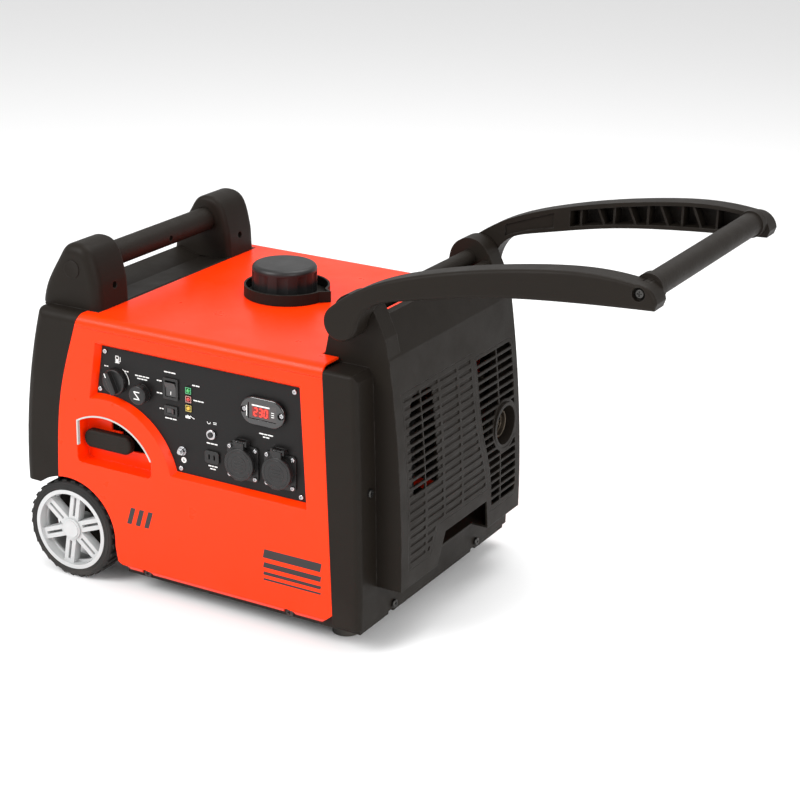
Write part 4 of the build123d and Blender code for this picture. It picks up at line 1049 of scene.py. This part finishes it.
class GENERATOR_OT_wheel_trim(bpy.types.Operator):
    """Hub caps and the raised rings on the tyres' sides"""

    bl_idname = "generator.wheel_trim"
    bl_label = "Wheel trim"

    def execute(self, context):
        for label, side in (("front", -1), ("rear", 1)):
            rim = Place(f"rim_{label}")
            tyre = Place(f"tyre_{label}")
            outer = rim.low.y if side < 0 else rim.high.y
            centre = Vector((rim.mid.x, outer - side * 2.2 * MM, rim.mid.z))
            cap = rod(f"hub_cap_{label}", centre, 13 * MM, 3.2 * MM, "Y")
            cap = step_face(cap, (0, side, 0), 2.2 * MM, -0.8 * MM)
            cap = step_face(cap, (0, side, 0), 5.0 * MM, 0.9 * MM)
            round_off(cap, 0.5 * MM)
            hand_over(cap, FINISHES["rim_silver"], f"wheel_{label}")
            wall = tyre.low.y if side < 0 else tyre.high.y
            beads = [
                ring("bead", (tyre.mid.x, wall - side * 0.2 * MM, tyre.mid.z), radius * MM, 0.7 * MM, "Y", 96, 8)
                for radius in (63.5, 68.5)
            ]
            beads = join(f"tyre_beads_{label}", beads)
            hand_over(beads, FINISHES["tyre_rubber"], f"wheel_{label}")
        return {"FINISHED"}


# ---------------------------------------------------------------- stage


def aim(obj, target, roll=0.0):
    """Point a camera or light at a place, and roll it about its own view line."""
    look = (Vector(target) - obj.location).to_track_quat("-Z", "Y").to_matrix().to_4x4()
    obj.rotation_euler = (look @ Matrix.Rotation(radians(roll), 4, "Z")).to_euler()


def soft_light(name, place, target, size, power):
    bpy.ops.object.light_add(type="AREA", location=place)
    light = bpy.context.object
    light.name = name
    light.data.shape = "DISK"
    light.data.size = size
    light.data.energy = power
    aim(light, target)


class GENERATOR_OT_stage(bpy.types.Operator):
    """Plain pale floor, soft lights and the camera"""

    bl_idname = "generator.stage"
    bl_label = "Stage"

    def execute(self, context):
        settings = context.scene.generator_studio
        clear_selection()
        bpy.ops.mesh.primitive_plane_add(size=settings.floor_size, location=(0, 0, 0))
        floor = context.object
        floor.name = "studio_floor"
        floor.data.materials.append(
            surface(
                "Pale floor", settings.floor_colour, rough=(0.75, 0.85), grain=(60.0, 0.4, 0.00002),
                drift=(1.5, 0.3, 0.99), specular=0.2,
            )
        )

        target = (0.0, 0.0, 0.28)
        soft_light("key_light", (-1.6, -2.6, 2.6), target, 2.2, settings.key_power)
        soft_light("fill_light", (2.8, -1.6, 1.7), target, 2.0, settings.key_power * 0.45)
        soft_light("top_light", (0.2, 0.9, 3.0), target, 2.4, settings.key_power * 0.5)
        world = bpy.data.worlds.new("Studio sky")
        world.use_nodes = True
        background = world.node_tree.nodes["Background"]
        background.inputs["Color"].default_value = (1.0, 1.0, 1.0, 1.0)
        background.inputs["Strength"].default_value = settings.sky
        context.scene.world = world
        context.scene.view_settings.view_transform = "Standard"

        bpy.ops.object.camera_add(location=CAMERA_PLACE)
        camera = context.object
        camera.data.lens = CAMERA_LENS
        camera.data.sensor_width = 36.0
        camera.data.clip_end = 60.0
        camera.data.shift_x, camera.data.shift_y = CAMERA_SHIFT
        aim(camera, CAMERA_TARGET, CAMERA_ROLL)
        context.scene.camera = camera
        return {"FINISHED"}


STEPS = (
    GENERATOR_OT_finishes,
    GENERATOR_OT_captions,
    GENERATOR_OT_pictograms,
    GENERATOR_OT_lamp_outlines,
    GENERATOR_OT_earth_mark,
    GENERATOR_OT_control_marks,
    GENERATOR_OT_display,
    GENERATOR_OT_outlet_covers,
    GENERATOR_OT_case_graphics,
    GENERATOR_OT_tower_trim,
    GENERATOR_OT_exhaust_screen,
    GENERATOR_OT_wheel_trim,
    GENERATOR_OT_stage,
)


class GENERATOR_PT_looks(bpy.types.Panel):
    """Lists the steps in the order in which they run"""

    bl_idname = "GENERATOR_PT_looks"
    bl_label = "Portable Generator"
    bl_space_type = "VIEW_3D"
    bl_region_type = "UI"
    bl_category = "Generator"

    def draw(self, context):
        for step in STEPS:
            self.layout.operator(step.bl_idname)


SETTINGS = {
    "generator_colours": GeneratorColours,
    "generator_sizes": GeneratorSizes,
    "generator_studio": StudioSettings,
}


def register():
    for name, group in SETTINGS.items():
        bpy.utils.register_class(group)
        setattr(bpy.types.Scene, name, bpy.props.PointerProperty(type=group))
    for step in STEPS:
        bpy.utils.register_class(step)
    bpy.utils.register_class(GENERATOR_PT_looks)


def unregister():
    bpy.utils.unregister_class(GENERATOR_PT_looks)
    for step in reversed(STEPS):
        bpy.utils.unregister_class(step)
    for name, group in reversed(SETTINGS.items()):
        delattr(bpy.types.Scene, name)
        bpy.utils.unregister_class(group)


def main():
    register()
    for step in STEPS:
        family, action = step.bl_idname.split(".")
        getattr(getattr(bpy.ops, family), action)()


if __name__ == "__main__":
    main()
